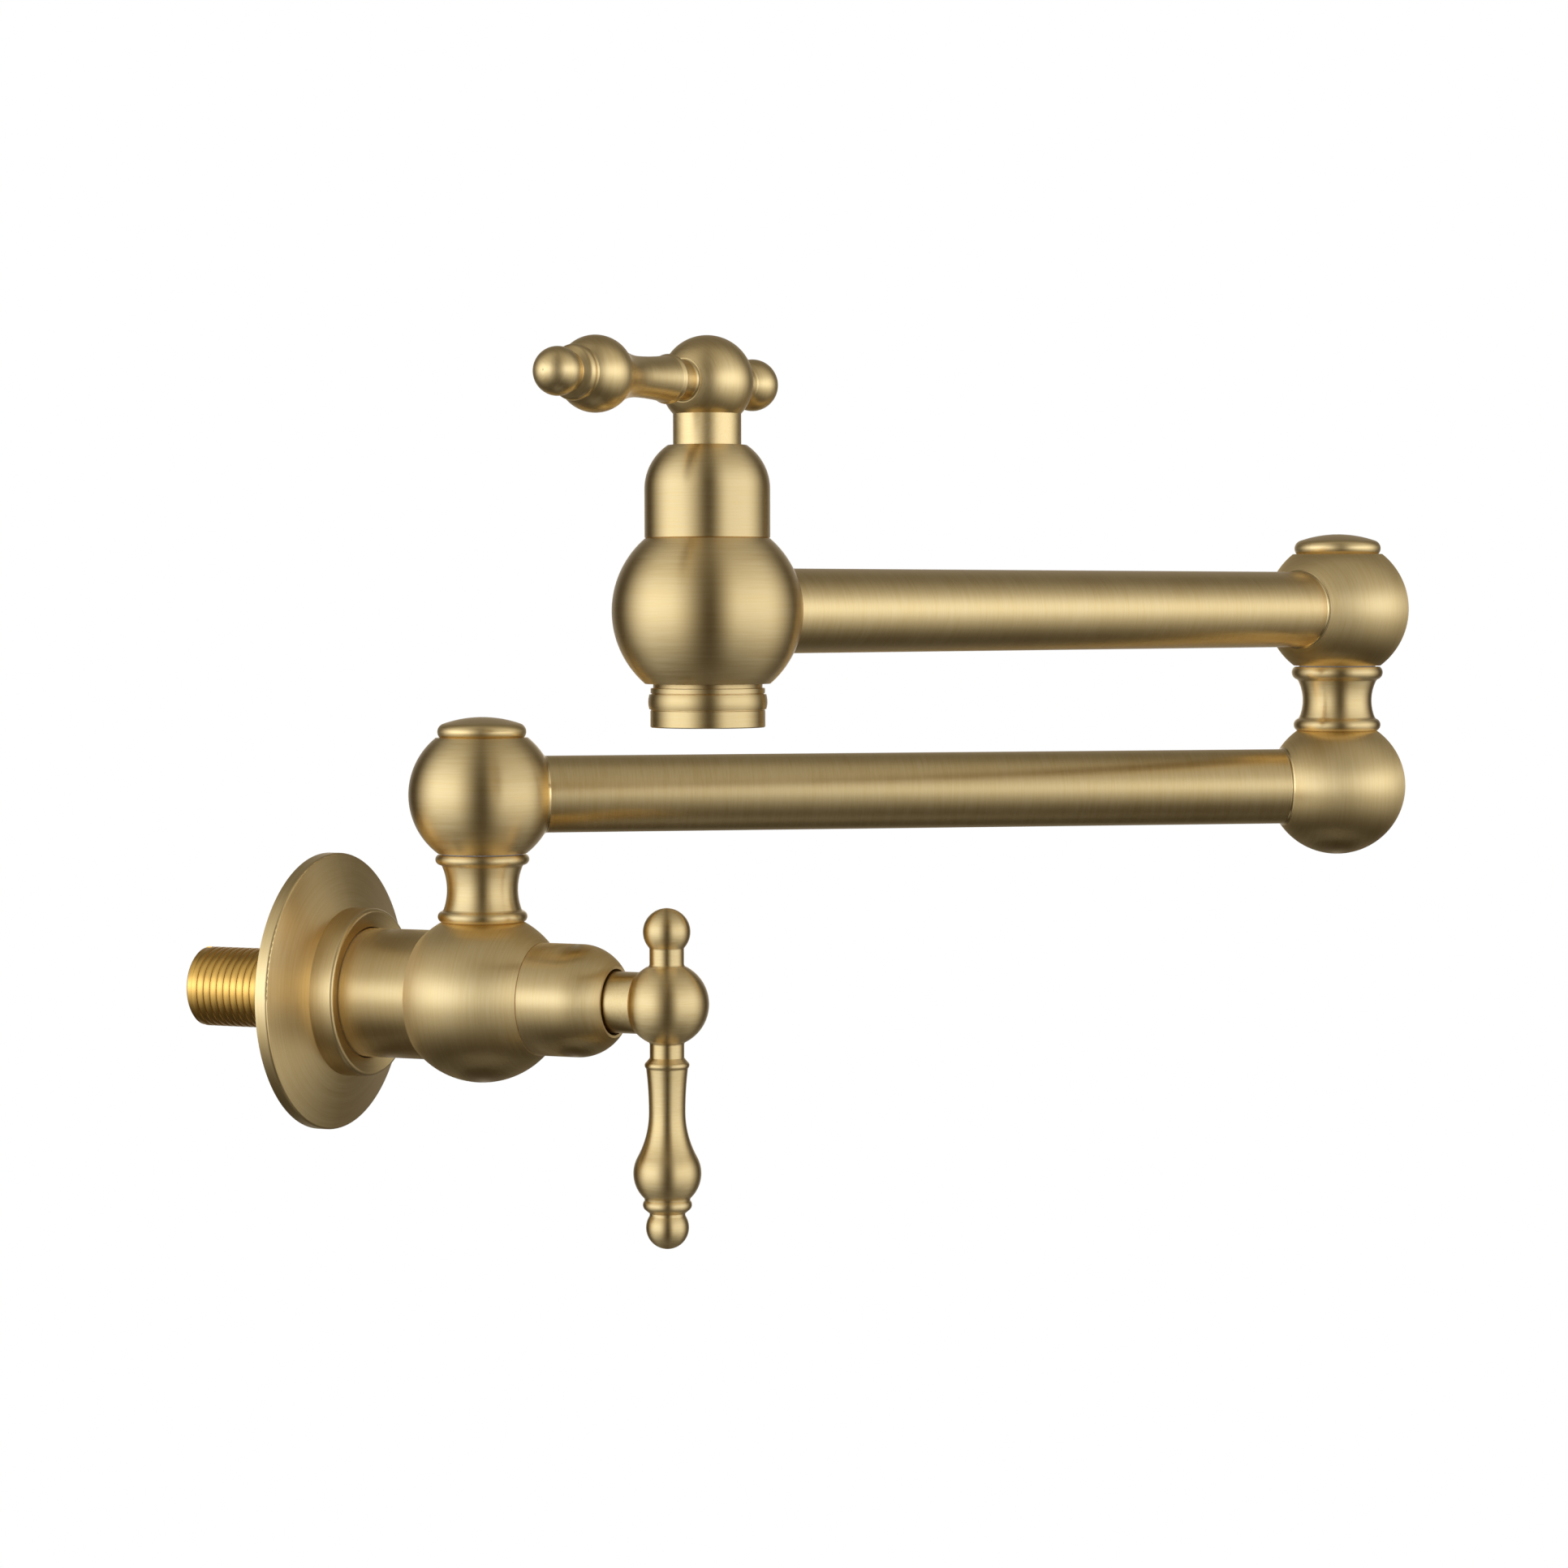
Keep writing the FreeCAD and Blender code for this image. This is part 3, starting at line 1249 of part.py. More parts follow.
aerator_housing()
plain_ring("aerator_washer", outlet_frame, s.aerator_washer_inner,
           s.aerator_thread_radius, aerator_top, -s.outlet_port_shoulder)
aerator_core()
aerator_screen()

# ---------------------------------------------------------------- checks and export

doc.recompute()

for item in doc.Objects:
    if {"Invalid", "Error"} & set(item.State):
        raise RuntimeError("%s failed: %s" % (item.Name, item.State))

for body in sub_parts:
    shape = body.Shape
    if shape.isNull() or not shape.isValid():
        raise RuntimeError("%s has no valid shape" % body.Label)
    for feature in body.Group:
        if feature.isDerivedFrom("PartDesign::SubShapeBinder"):
            continue
        if feature.TypeId in ("PartDesign::Groove", "PartDesign::Pocket"):
            before = feature.BaseFeature.Shape.Volume
            if feature.Shape.Volume > before - 1e-3:
                raise RuntimeError("%s cuts nothing" % feature.Name)

os.makedirs("parts", exist_ok=True)
for body in sub_parts:
    body.Shape.exportStep("parts/%s.step" % body.Label)
    centre = body.Shape.BoundBox.Center
    print("%-24s %10.2f mm3  %d solid(s)  centre %.1f %.1f %.1f" % (
        body.Label, body.Shape.Volume, len(body.Shape.Solids), centre.x, centre.y, centre.z))
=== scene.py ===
"""A wall mounted pot filler in brushed gold.

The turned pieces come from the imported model. This file gives each of them its finish, makes the
inlet's thread, the beads at the tubes' roots, the aerator's ring and honeycomb and the handles'
screws, and sets up a plain studio.
"""

import json
import math

import bmesh
import bpy
from bpy.props import FloatProperty, FloatVectorProperty, IntProperty, PointerProperty
from mathutils import Matrix, Vector


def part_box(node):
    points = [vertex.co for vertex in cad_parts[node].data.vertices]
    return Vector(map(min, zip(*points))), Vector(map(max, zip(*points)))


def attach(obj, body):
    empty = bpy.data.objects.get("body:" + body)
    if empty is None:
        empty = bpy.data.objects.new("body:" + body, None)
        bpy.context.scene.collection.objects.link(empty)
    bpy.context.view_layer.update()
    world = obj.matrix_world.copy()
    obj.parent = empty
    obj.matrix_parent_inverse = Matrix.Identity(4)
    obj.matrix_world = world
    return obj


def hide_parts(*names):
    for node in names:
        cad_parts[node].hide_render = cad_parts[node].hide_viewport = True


bl_info = {
    "name": "Pot filler",
    "version": (1, 0, 0),
    "blender": (4, 5, 0),
    "location": "3D View > Sidebar > Pot filler",
    "description": "Finishes, thread, trim and studio of a wall mounted pot filler",
    "category": "Object",
}

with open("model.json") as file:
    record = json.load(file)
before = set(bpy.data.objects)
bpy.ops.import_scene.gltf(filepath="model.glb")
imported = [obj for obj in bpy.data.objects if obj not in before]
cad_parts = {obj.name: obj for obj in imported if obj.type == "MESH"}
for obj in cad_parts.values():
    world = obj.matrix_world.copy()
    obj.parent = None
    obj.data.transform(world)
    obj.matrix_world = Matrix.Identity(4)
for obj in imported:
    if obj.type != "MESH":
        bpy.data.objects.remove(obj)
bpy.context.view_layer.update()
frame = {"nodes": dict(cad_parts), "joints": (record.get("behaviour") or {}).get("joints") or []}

MM = 0.001
WALL_BODY = "wall_body"
LOWER_ARM = "lower_arm"
UPPER_ARM = "upper_arm"
INLET_HANDLE = "inlet_handle"
OUTLET_HANDLE = "outlet_handle"

# ---------------------------------------------------------------- places

UP = Vector((0, 0, 1))
DOWN = -UP
OUT_OF_WALL = Vector((0, -1, 0))
WALL_CENTRE = Vector((0, 0, 0))


def joint_place(name):
    """Where a joint's axis passes, in the model's frame."""
    found = [joint for joint in frame["joints"] if joint["name"] == name]
    return Vector(found[0]["pos_m"])


def box_centre(node):
    low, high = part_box(node)
    return (low + high) / 2


RISER = joint_place("lower_arm_swing")
ELBOW = joint_place("elbow_swing")
ELBOW_BASE = Vector((ELBOW.x, ELBOW.y, RISER.z))
WALL_HUB = joint_place("inlet_handle_turn")
OUTLET_HUB = joint_place("outlet_handle_turn")
OUTLET = Vector((OUTLET_HUB.x, OUTLET_HUB.y, ELBOW.z))
LOWER_ARM_WAY = (ELBOW_BASE - RISER).normalized()
UPPER_ARM_WAY = (OUTLET - ELBOW).normalized()
OUTLET_LEVER_WAY = (box_centre("outlet_lever") - OUTLET_HUB).normalized()


def place_on(centre, way):
    """A place whose own upright axis points along `way`."""
    upright = way.normalized()
    nearly_upright = 0.9
    first = UP if abs(upright.z) < nearly_upright else Vector((1, 0, 0))
    side = upright.cross(first).normalized()
    level = side.cross(upright).normalized()
    turn = Matrix((level, side, upright)).transposed()
    return Matrix.Translation(centre) @ turn.to_4x4()


# ---------------------------------------------------------------- settings


class PotFillerSizes(bpy.types.PropertyGroup):
    """Sizes of what this file adds to the model."""

    pipe_thread_pitch: FloatProperty(
        name="Pipe thread pitch", description="Crest to crest on the inlet's thread",
        default=1.814 * MM, unit="LENGTH", precision=5)
    pipe_thread_depth: FloatProperty(
        name="Pipe thread depth", description="Crest to root on the inlet's thread",
        default=1.162 * MM, unit="LENGTH", precision=5)
    honeycomb_pitch: FloatProperty(
        name="Honeycomb pitch", description="Cell to cell in the outlet's screen",
        default=1.7 * MM, unit="LENGTH", precision=5)
    honeycomb_wall: FloatProperty(
        name="Honeycomb wall", description="Thickness of the screen's cell walls",
        default=0.26 * MM, unit="LENGTH", precision=5)
    root_bead: FloatProperty(
        name="Tube root bead",
        description="Width of the brazed bead where a tube enters a ball",
        default=0.6 * MM, unit="LENGTH", precision=5)
    screw_key: FloatProperty(
        name="Screw key", description="Across the flats of the clamping screws' sockets",
        default=2.0 * MM, unit="LENGTH", precision=5)
    thread_steps: IntProperty(
        name="Thread steps", description="Points on each turn of the inlet's thread",
        default=56, min=12, max=128)


class PotFillerFinishes(bpy.types.PropertyGroup):
    """Colours and surface of each finish."""

    gold: FloatVectorProperty(
        name="Gold", description="Colour of the brushed gold",
        default=(0.82, 0.625, 0.305), subtype="COLOR", min=0, max=1)
    deep_gold: FloatVectorProperty(
        name="Deep gold", description="Its darker shade between the brush lines",
        default=(0.74, 0.53, 0.225), subtype="COLOR", min=0, max=1)
    gold_roughness: FloatProperty(
        name="Gold roughness", description="Roughness of the brushed gold",
        default=0.36, subtype="FACTOR", min=0, max=1)
    gold_spread: FloatProperty(
        name="Gold spread", description="How much the brushing draws highlights out one way",
        default=0.9, subtype="FACTOR", min=0, max=1)
    brush_depth: FloatProperty(
        name="Brush depth", description="Depth of the brush lines",
        default=0.012 * MM, unit="LENGTH", precision=6)
    brush_lines: FloatProperty(
        name="Brush lines", description="Brush lines in each metre across them",
        default=2600.0, min=100, max=20000)
    bare_brass: FloatVectorProperty(
        name="Bare brass", description="Colour of the machined brass",
        default=(0.86, 0.51, 0.12), subtype="COLOR", min=0, max=1)
    rubber: FloatVectorProperty(
        name="Rubber", description="Colour of rings and seals",
        default=(0.018, 0.018, 0.02), subtype="COLOR", min=0, max=1)
    ceramic: FloatVectorProperty(
        name="Ceramic", description="Colour of the valve discs",
        default=(0.82, 0.81, 0.77), subtype="COLOR", min=0, max=1)
    plastic: FloatVectorProperty(
        name="Plastic", description="Colour of slip washers and the aerator's core",
        default=(0.74, 0.73, 0.69), subtype="COLOR", min=0, max=1)
    steel: FloatVectorProperty(
        name="Steel", description="Colour of screws and screen",
        default=(0.56, 0.56, 0.55), subtype="COLOR", min=0, max=1)


class PotFillerStudio(bpy.types.PropertyGroup):
    """Camera, light and floor."""

    camera_place: FloatVectorProperty(
        name="Camera", description="Where the camera stands",
        default=(-0.87699, -0.51093, 0.09087), subtype="TRANSLATION")
    camera_turn: FloatProperty(
        name="Turn", description="Camera's turn to the right of straight at the wall",
        default=math.radians(65.925), subtype="ANGLE")
    camera_tilt: FloatProperty(
        name="Tilt", description="Camera's tilt downwards",
        default=math.radians(2.382), subtype="ANGLE")
    camera_roll: FloatProperty(
        name="Roll", description="Camera's roll",
        default=math.radians(-0.112), subtype="ANGLE")
    lens: FloatProperty(
        name="Lens", description="Focal length in millimetres on a sensor 36 mm wide",
        default=97.788, min=10, max=300)
    softbox: FloatProperty(
        name="Softboxes", description="Brightness of the two tall lights",
        default=1.8, min=0, max=10)
    top_light: FloatProperty(
        name="Top light", description="Brightness from above",
        default=0.12, min=0, max=10)
    rear_light: FloatProperty(
        name="Rear light", description="Brightness behind the object",
        default=0.25, min=0, max=10)
    surround: FloatVectorProperty(
        name="Surround", description="Colour of the dim surroundings",
        default=(0.070, 0.060, 0.046), subtype="COLOR", min=0, max=1)
    floor_colour: FloatVectorProperty(
        name="Floor", description="Colour of the floor",
        default=(0.5, 0.5, 0.5), subtype="COLOR", min=0, max=1)
    floor_height: FloatProperty(
        name="Floor height", description="Height of the floor, counted from the inlet",
        default=-2.4, unit="LENGTH")
    floor_size: FloatProperty(
        name="Floor size", description="Length of the floor's sides",
        default=1.2, unit="LENGTH")


SETTINGS = {
    "pot_filler_sizes": PotFillerSizes,
    "pot_filler_finishes": PotFillerFinishes,
    "pot_filler_studio": PotFillerStudio,
}

# ---------------------------------------------------------------- nodes


class Link:
    """A socket in a node tree. Sums, products and quotients on it add the nodes for them."""

    def __init__(self, graph, socket):
        self.graph = graph
        self.socket = socket

    def maths(self, operation, first, second=0.0):
        values = {0: first, 1: second}
        return self.graph.add("ShaderNodeMath", {"operation": operation}, values)

    def __add__(self, other):
        return self.maths("ADD", self, other)

    def __radd__(self, other):
        return self.maths("ADD", other, self)

    def __sub__(self, other):
        return self.maths("SUBTRACT", self, other)

    def __rsub__(self, other):
        return self.maths("SUBTRACT", other, self)

    def __mul__(self, other):
        return self.maths("MULTIPLY", self, other)

    def __rmul__(self, other):
        return self.maths("MULTIPLY", other, self)

    def __truediv__(self, other):
        return self.maths("DIVIDE", self, other)

    def __rtruediv__(self, other):
        return self.maths("DIVIDE", other, self)

    def __abs__(self):
        return self.maths("ABSOLUTE", self)

    def smallest(self, other):
        return self.maths("MINIMUM", self, other)

    def largest(self, other):
        return self.maths("MAXIMUM", self, other)


class Graph:
    """A node tree, and one way to add any node to it."""

    def __init__(self, tree):
        self.tree = tree

    def feed(self, socket, value):
        """Links a socket or sets its value. A list gives it several links."""
        if isinstance(value, list):
            for link in value:
                self.feed(socket, link)
        elif isinstance(value, Link):
            self.tree.links.new(value.socket, socket)
        elif value is not None:
            socket.default_value = value

    def add(self, kind, settings=None, values=None, output=0):
        """Adds a node: first its settings, then the values or links of its sockets."""
        node = self.tree.nodes.new(kind)
        for name, setting in (settings or {}).items():
            setattr(node, name, setting)
        for name, value in (values or {}).items():
            self.feed(node.inputs[name], value)
        return Link(self, node.outputs[output]) if len(node.outputs) else None

    def vector(self, operation, first, second=None, scale=None, output=0):
        values = {0: first}
        if second is not None:
            values[1] = second
        if scale is not None:
            values["Scale"] = scale
        return self.add("ShaderNodeVectorMath", {"operation": operation}, values, output)

    def smooth_step(self, value, start, end):
        """Rises smoothly from 0 at start to 1 at end."""
        return self.add(
            "ShaderNodeMapRange",
            {"interpolation_type": "SMOOTHSTEP", "clamp": True},
            {"Value": value, "From Min": start, "From Max": end})

    def between(self, value, rise, fall):
        """1 within a range, 0 outside it: rise and fall each have a start and an end."""
        return self.smooth_step(value, *rise) * (1 - self.smooth_step(value, *fall))

    def bump(self, height, depth, strength):
        """A normal that follows these heights."""
        return self.add(
            "ShaderNodeBump", None, {"Strength": strength, "Distance": depth, "Height": height})

    def mixed_colours(self, mask, first, second):
        """The first colour where the mask is 0, the second where it is 1."""
        colour_a, colour_b, colour_out = 6, 7, 2
        values = {0: mask, colour_a: with_alpha(first), colour_b: with_alpha(second)}
        return self.add("ShaderNodeMix", {"data_type": "RGBA"}, values, colour_out)


def with_alpha(colour):
    return colour if isinstance(colour, Link) else (*colour, 1.0)


def shaded(colour, share):
    """A colour times this share: darker below 1, paler above."""
    return tuple(min(1.0, channel * share) for channel in colour)


def new_material(name):
    """An empty material and its graph."""
    material = bpy.data.materials.new(name)
    material.use_nodes = True
    material.node_tree.nodes.clear()
    return material, Graph(material.node_tree)


def finish_surface(graph, values):
    """A Principled surface with these socket values, joined to the material's output."""
    surface = graph.add("ShaderNodeBsdfPrincipled", None, values)
    graph.add("ShaderNodeOutputMaterial", None, {"Surface": surface})


# ---------------------------------------------------------------- finishes


def place_round_axis(graph, centre, way):
    """How far along an axis a point is, how far from it, and which way round it."""
    spot = graph.add("ShaderNodeTexCoord", output="Object")
    offset = graph.vector("SUBTRACT", spot, tuple(centre))
    along = graph.vector("DOT_PRODUCT", offset, tuple(way), output="Value")
    on_axis = graph.vector("SCALE", tuple(way), scale=along)
    outward = graph.vector("SUBTRACT", offset, on_axis)
    distance = graph.vector("LENGTH", outward, output="Value")
    around = graph.vector("NORMALIZE", outward)
    return along, distance, around


def brush_lines(graph, centre, way, lines, turns, detail=3.0):
    """Noise drawn out round an axis, also on the flat ends of a turned piece."""
    along, distance, around = place_round_axis(graph, centre, way)
    rounds = graph.vector("SCALE", around, scale=turns)
    steps = graph.vector("SCALE", tuple(way), scale=along * lines)
    where = graph.vector("ADD", rounds, steps)
    return graph.add(
        "ShaderNodeTexNoise", {"noise_dimensions": "4D"},
        {"Vector": where, "W": distance * lines, "Scale": 1.0, "Detail": detail,
         "Roughness": 0.6})


def cloud(graph, size, seed, detail=2.0):
    """Soft patches of about this size in metres."""
    spot = graph.add("ShaderNodeTexCoord", output="Object")
    return graph.add(
        "ShaderNodeTexNoise", {"noise_dimensions": "4D"},
        {"Vector": spot, "W": seed, "Scale": 1.0 / size, "Detail": detail})


# how a brushed piece draws out its highlights: turns of the shader's own tangent, or not at all
UPRIGHT = 0.25
LEVEL = 0.0
EVEN = None
LEVEL_IS_ROUGHER = 0.04
NOISE_MIDDLE = 0.5


def brushed_gold(name, centre, way, drawn=UPRIGHT, slope=1.0, polish=0.0):
    """Gold brushed round one axis: fine lines, broader bands and slight patches.

    `slope` deepens the lines, and `polish` takes its value off the roughness.
    """
    look = bpy.context.scene.pot_filler_finishes
    material, graph = new_material(name)
    fine = brush_lines(graph, centre, way, lines=look.brush_lines, turns=1.6)
    broad = brush_lines(graph, centre, way, lines=look.brush_lines / 6, turns=0.9)
    patches = cloud(graph, size=0.02, seed=3.0)
    fine_share, patch_share = 0.75, 0.35
    brushed = fine * fine_share + broad * (1 - fine_share)
    shade = graph.smooth_step(brushed + patches * patch_share, start=0.4, end=0.9)
    roughness = look.gold_roughness - polish
    if drawn == LEVEL:
        roughness = look.gold_roughness + LEVEL_IS_ROUGHER - polish
    by_line = (brushed - NOISE_MIDDLE) * 0.16
    by_patch = (patches - NOISE_MIDDLE) * 0.06
    finish_surface(graph, {
        "Base Color": graph.mixed_colours(shade, look.deep_gold, look.gold),
        "Metallic": 1.0,
        "Roughness": roughness + by_line + by_patch,
        "Anisotropic": 0.0 if drawn is EVEN else look.gold_spread,
        "Anisotropic Rotation": 0.0 if drawn is EVEN else drawn,
        "Normal": graph.bump(brushed, look.brush_depth * slope, strength=0.5)})
    return material


def bare_brass(name, centre, way):
    """Machined brass, left bare: tool marks round the axis and a warmer colour."""
    look = bpy.context.scene.pot_filler_finishes
    material, graph = new_material(name)
    marks = brush_lines(
        graph, centre, way, lines=look.brush_lines * 0.6, turns=0.8, detail=2.0)
    patches = cloud(graph, size=0.008, seed=11.0, detail=4.0)
    mark_share = 0.4
    blend = marks * mark_share + patches * (1 - mark_share)
    shade = graph.smooth_step(blend, start=0.3, end=0.65)
    dull = shaded(look.bare_brass, 0.78)
    finish_surface(graph, {
        "Base Color": graph.mixed_colours(shade, dull, look.bare_brass),
        "Metallic": 1.0,
        "Roughness": 0.2 + marks * 0.14,
        "Normal": graph.bump(marks, look.brush_depth, strength=0.4)})
    return material


def black_rubber(name):
    """Moulded rubber: dark, dull, with fine bloom."""
    look = bpy.context.scene.pot_filler_finishes
    material, graph = new_material(name)
    bloom = cloud(graph, size=0.0015, seed=5.0, detail=4.0)
    shade = graph.smooth_step(bloom, start=0.4, end=0.8)
    dusty = shaded(look.rubber, 3.0)
    finish_surface(graph, {
        "Base Color": graph.mixed_colours(shade, look.rubber, dusty),
        "Roughness": 0.55 + bloom * 0.2,
        "Normal": graph.bump(bloom, 0.03 * MM, strength=0.3)})
    return material


def valve_ceramic(name):
    """Lapped ceramic: nearly white, smooth, with faint grey grain."""
    look = bpy.context.scene.pot_filler_finishes
    material, graph = new_material(name)
    grain = cloud(graph, size=0.0008, seed=7.0, detail=5.0)
    shade = graph.smooth_step(grain, start=0.35, end=0.7)
    grey = shaded(look.ceramic, 0.88)
    finish_surface(graph, {
        "Base Color": graph.mixed_colours(shade, grey, look.ceramic),
        "Roughness": 0.16 + grain * 0.1})
    return material


def moulded_plastic(name):
    """Off-white moulded plastic with a fine mould texture."""
    look = bpy.context.scene.pot_filler_finishes
    material, graph = new_material(name)
    texture = cloud(graph, size=0.0006, seed=9.0, detail=3.0)
    darker = shaded(look.plastic, 0.93)
    finish_surface(graph, {
        "Base Color": graph.mixed_colours(texture, darker, look.plastic),
        "Roughness": 0.42 + texture * 0.12,
        "Normal": graph.bump(texture, 0.02 * MM, strength=0.25)})
    return material


def stainless(name, centre, way):
    """Stainless steel with turning marks."""
    look = bpy.context.scene.pot_filler_finishes
    material, graph = new_material(name)
    marks = brush_lines(graph, centre, way, lines=look.brush_lines, turns=1.0, detail=2.0)
    dull = shaded(look.steel, 0.85)
    finish_surface(graph, {
        "Base Color": graph.mixed_colours(marks, dull, look.steel),
        "Metallic": 1.0,
        "Roughness": 0.22 + marks * 0.12,
        "Normal": graph.bump(marks, look.brush_depth, strength=0.3)})
    return material


def dress(material, *nodes):
    """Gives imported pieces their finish."""
    for node in nodes:
        mesh = frame["nodes"][node].data
        mesh.materials.clear()
        mesh.materials.append(material)


# ---------------------------------------------------------------- meshes


def hexagon_reach(flats):
    """A rule for the distance from a hexagon's centre to its side, at any angle."""
    sector = math.pi / 3

    def reach(angle):
        return flats / 2 / math.cos(angle % sector - sector / 2)

    return reach


def turned_mesh(name, rows, place, sides=96):
    """A closed mesh of rings: each row is a radius, or a rule for it, and a height."""
    mesh = bmesh.new()
    rings = []
    for radius, height in rows:
        if not callable(radius) and radius == 0:
            rings.append([mesh.verts.new(place @ Vector((0, 0, height)))])
            continue
        ring = []
        for step in range(sides):
            angle = 2 * math.pi * step / sides
            reach = radius(angle) if callable(radius) else radius
            spot = Vector((reach * math.cos(angle), reach * math.sin(angle), height))
            ring.append(mesh.verts.new(place @ spot))
        rings.append(ring)
    for first, second in zip(rings, rings[1:] + rings[:1]):
        if len(first) == 1 and len(second) == 1:
            continue
        for step in range(sides):
            following = (step + 1) % sides
            corners = [first[step % len(first)], first[following % len(first)],
                       second[following % len(second)], second[step % len(second)]]
            mesh.faces.new(list(dict.fromkeys(corners)))
    bmesh.ops.recalc_face_normals(mesh, faces=mesh.faces)
    data = bpy.data.meshes.new(name)
    mesh.to_mesh(data)
    mesh.free()
    return data


def softened(mesh, sharpest=30):
    """Shades a mesh smooth, apart from the edges that turn by more than this angle."""
    mesh.shade_smooth()
    mesh.set_sharp_from_angle(angle=math.radians(sharpest))
    return mesh


def new_piece(name, mesh, material, body, replaced=()):
    """Puts a finished mesh on its body."""
    mesh.materials.clear()
    mesh.materials.append(material)
    piece = bpy.data.objects.new(name, mesh)
    bpy.context.scene.collection.objects.link(piece)
    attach(piece, body)
    if replaced:
        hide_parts(*replaced)


def rounded_rows(corners, edge, steps=4):
    """The same section with its corners rounded over this length, or less on short sides."""
    most_of_side = 0.4
    rows = []
    for index, corner in enumerate(corners):
        here = Vector(corner)
        before = Vector(corners[index - 1]) - here
        after = Vector(corners[(index + 1) % len(corners)]) - here
        cut = min(edge, before.length * most_of_side, after.length * most_of_side)
        start = here + before.normalized() * cut
        end = here + after.normalized() * cut
        for step in range(steps + 1):
            part = step / steps
            spot = start.lerp(here, part).lerp(here.lerp(end, part), part)
            rows.append(tuple(spot))
    return rows


# ---------------------------------------------------------------- geometry nodes


class GeometryGraph(Graph):
    """A geometry tree with named inputs that ends in plain geometry and a material."""

    def __init__(self, name, inputs):
        super().__init__(bpy.data.node_groups.new(name, "GeometryNodeTree"))
        kinds = {float: "NodeSocketFloat", int: "NodeSocketInt"}
        self.identifiers = {}
        for label, value in inputs.items():
            socket = self.tree.interface.new_socket(
                label, in_out="INPUT", socket_type=kinds[type(value)])
            socket.default_value = value
            self.identifiers[label] = socket.identifier
        self.tree.interface.new_socket(
            "Geometry", in_out="OUTPUT", socket_type="NodeSocketGeometry")
        self.entry = self.tree.nodes.new("NodeGroupInput")

    def given(self, label):
        return Link(self, self.entry.outputs[label])

    def close(self, geometry, material):
        """Realizes the instances, sets the material and joins the output."""
        plain = self.add("GeometryNodeRealizeInstances", None, {"Geometry": geometry})
        painted = self.add(
            "GeometryNodeSetMaterial", None, {"Geometry": plain, "Material": material})
        output = self.tree.nodes.new("NodeGroupOutput")
        self.feed(output.inputs["Geometry"], painted)


def grown_mesh(name, graph, values, place):
    """Runs a geometry tree once with these values and gives the plain mesh, in its place."""
    holder = bpy.data.objects.new(name, bpy.data.meshes.new(name))
    bpy.context.scene.collection.objects.link(holder)
    modifier = holder.modifiers.new("Nodes", "NODES")
    modifier.node_group = graph.tree
    for label, value in values.items():
        modifier[graph.identifiers[label]] = value
    bpy.context.view_layer.update()
    evaluated = holder.evaluated_get(bpy.context.evaluated_depsgraph_get())
    mesh = bpy.data.meshes.new_from_object(evaluated)
    holder.modifiers.remove(modifier)
    bpy.data.objects.remove(holder)
    mesh.name = name
    mesh.transform(place)
    return mesh


def screw_thread_tree(material):
    """A ridge wound round a core, which fades in at one end and out at the other."""
    graph = GeometryGraph("Screw thread", {
        "Core radius": 0.009, "Ridge": 0.001, "Pitch": 0.002, "Length": 0.02,
        "Steps": 48, "Fade": 0.03, "Root width": 0.96, "Crest width": 0.62})
    pitch = graph.given("Pitch")
    length = graph.given("Length")
    core = graph.given("Core radius")
    spiral = graph.add("GeometryNodeCurveSpiral", None, {
        "Resolution": graph.given("Steps"), "Rotations": length / pitch,
        "Start Radius": core, "End Radius": core, "Height": length})
    level = graph.add("GeometryNodeSetCurveNormal", {"mode": "Z_UP"}, {"Curve": spiral})
    share = graph.add("GeometryNodeSplineParameter", output="Factor")
    fade = graph.given("Fade")
    grow = (share / fade).smallest((1 - share) / fade).smallest(1.0)
    swollen = graph.add(
        "GeometryNodeSetCurveRadius", None, {"Curve": level, "Radius": grow})
    ridge = graph.given("Ridge")
    sunk = -0.15 * ridge
    half_root = graph.given("Root width") * pitch * 0.5
    half_crest = graph.given("Crest width") * pitch * 0.5
    corners = [
        (sunk, -1 * half_root), (sunk, half_root),
        (ridge, half_crest), (ridge, -1 * half_crest)]
    points = {
        "Point %d" % number: graph.add("ShaderNodeCombineXYZ", None, {"X": x, "Y": y})
        for number, (x, y) in enumerate(corners, start=1)}
    section = graph.add(
        "GeometryNodeCurvePrimitiveQuadrilateral", {"mode": "POINTS"}, points)
    rounding = ridge * 0.16
    eased = graph.add(
        "GeometryNodeFilletCurve", {"mode": "POLY"},
        {"Curve": section, "Radius": rounding, "Limit Radius": True, "Count": 2})
    swept = graph.add("GeometryNodeCurveToMesh", None, {
        "Curve": swollen, "Profile Curve": eased, "Fill Caps": True})
    graph.close(swept, material)
    return graph


